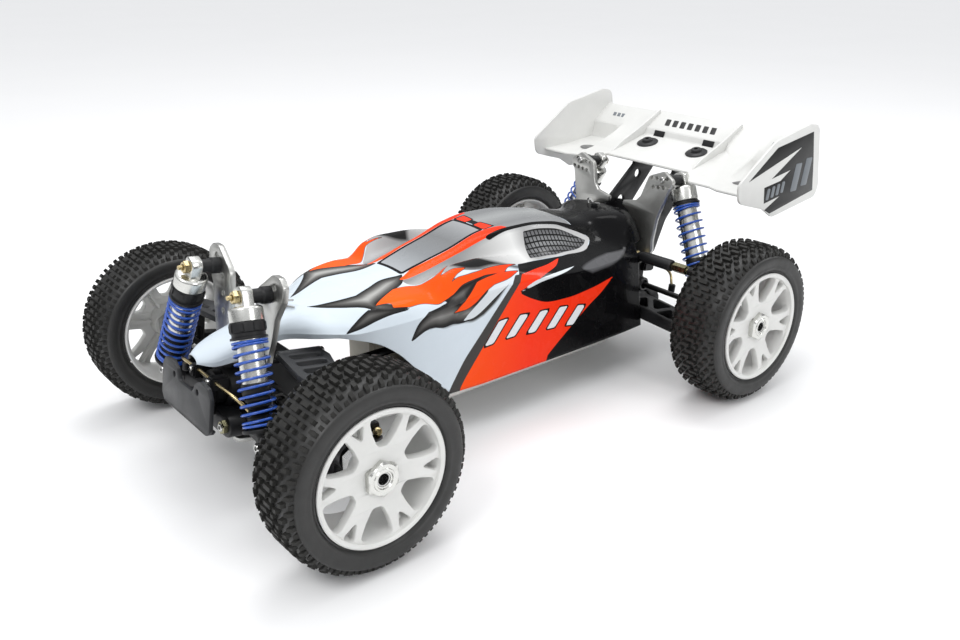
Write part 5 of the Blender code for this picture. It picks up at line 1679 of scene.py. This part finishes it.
def sky_light(tree):
    """White light from above that fades towards the horizon."""
    place = tree.nodes.new("ShaderNodeTexCoord")
    split = tree.nodes.new("ShaderNodeSeparateXYZ")
    ramp = tree.nodes.new("ShaderNodeValToRGB")
    tree.links.new(place.outputs["Generated"], split.inputs["Vector"])
    tree.links.new(split.outputs["Z"], ramp.inputs["Fac"])
    ramp.color_ramp.elements[0].color = (0.15, 0.155, 0.16, 1.0)
    ramp.color_ramp.elements[1].position = 0.75
    ramp.color_ramp.elements[1].color = (1.08, 1.09, 1.11, 1.0)
    tree.links.new(ramp.outputs["Color"], tree.nodes["Background"].inputs["Color"])
    tree.nodes["Background"].inputs["Strength"].default_value = 1.0


def studio():
    """Pale floor, soft lights and the camera."""
    size = 30.0
    mesh = bpy.data.meshes.new("floor")
    mesh.from_pydata([(-size, -size, 0), (size, -size, 0), (size, size, 0), (-size, size, 0)], [],
                     [(0, 1, 2, 3)])
    mesh.materials.append(FINISHES["floor"].material)
    floor = bpy.data.objects.new("floor", mesh)
    bpy.context.collection.objects.link(floor)
    world = bpy.data.worlds.new("studio")
    bpy.context.scene.world = world
    world.use_nodes = True
    sky_light(world.node_tree)
    lights = (
        ("key", (0.35, -1.1, 1.3), 0.7, 7.5),
        ("left", (1.5, 0.3, 0.9), 0.6, 4.5),
        ("top", (-0.3, 0.3, 1.5), 0.8, 6.5),
        ("edge", (0.2, 1.0, 0.9), 0.2, 1.2),
    )
    for name, place, width, power in lights:
        lamp = bpy.data.lights.new(name, "AREA")
        lamp.shape = "RECTANGLE"
        lamp.size = width
        lamp.size_y = width * 0.7
        lamp.energy = power
        item = bpy.data.objects.new(name, lamp)
        item.location = place
        item.rotation_mode = "QUATERNION"
        item.rotation_quaternion = (Vector((0, 0, 0.08)) - Vector(place)).to_track_quat("-Z", "Y")
        bpy.context.collection.objects.link(item)
    bpy.context.scene.view_settings.view_transform = "Standard"


def camera():
    azimuth, height, roll = radians(50.45), radians(22.32), radians(0.22)
    back = Vector((sin(azimuth) * cos(height), -cos(azimuth) * cos(height), sin(height)))
    right = Vector((0, 0, 1)).cross(back).normalized()
    up = back.cross(right)
    across_view = right * cos(roll) + up * sin(roll)
    up_view = up * cos(roll) - right * sin(roll)
    lens = bpy.data.cameras.new("camera")
    lens.sensor_width = 36.0
    lens.lens = 35.8
    lens.shift_x = -0.0025
    lens.clip_start = 0.01
    item = bpy.data.objects.new("camera", lens)
    turn = Matrix((across_view, up_view, back)).transposed().to_4x4()
    item.matrix_world = Matrix.Translation((0.5075, -0.4211, 0.3229)) @ turn
    bpy.context.collection.objects.link(item)
    bpy.context.scene.camera = item


shell_finish()
add_wheels()
add_shocks()
front_tower()
rear_tower()
front_bumper()
add_suspension()
add_middle()
body_shell()
body_clips()
rear_wing()
studio()
camera()
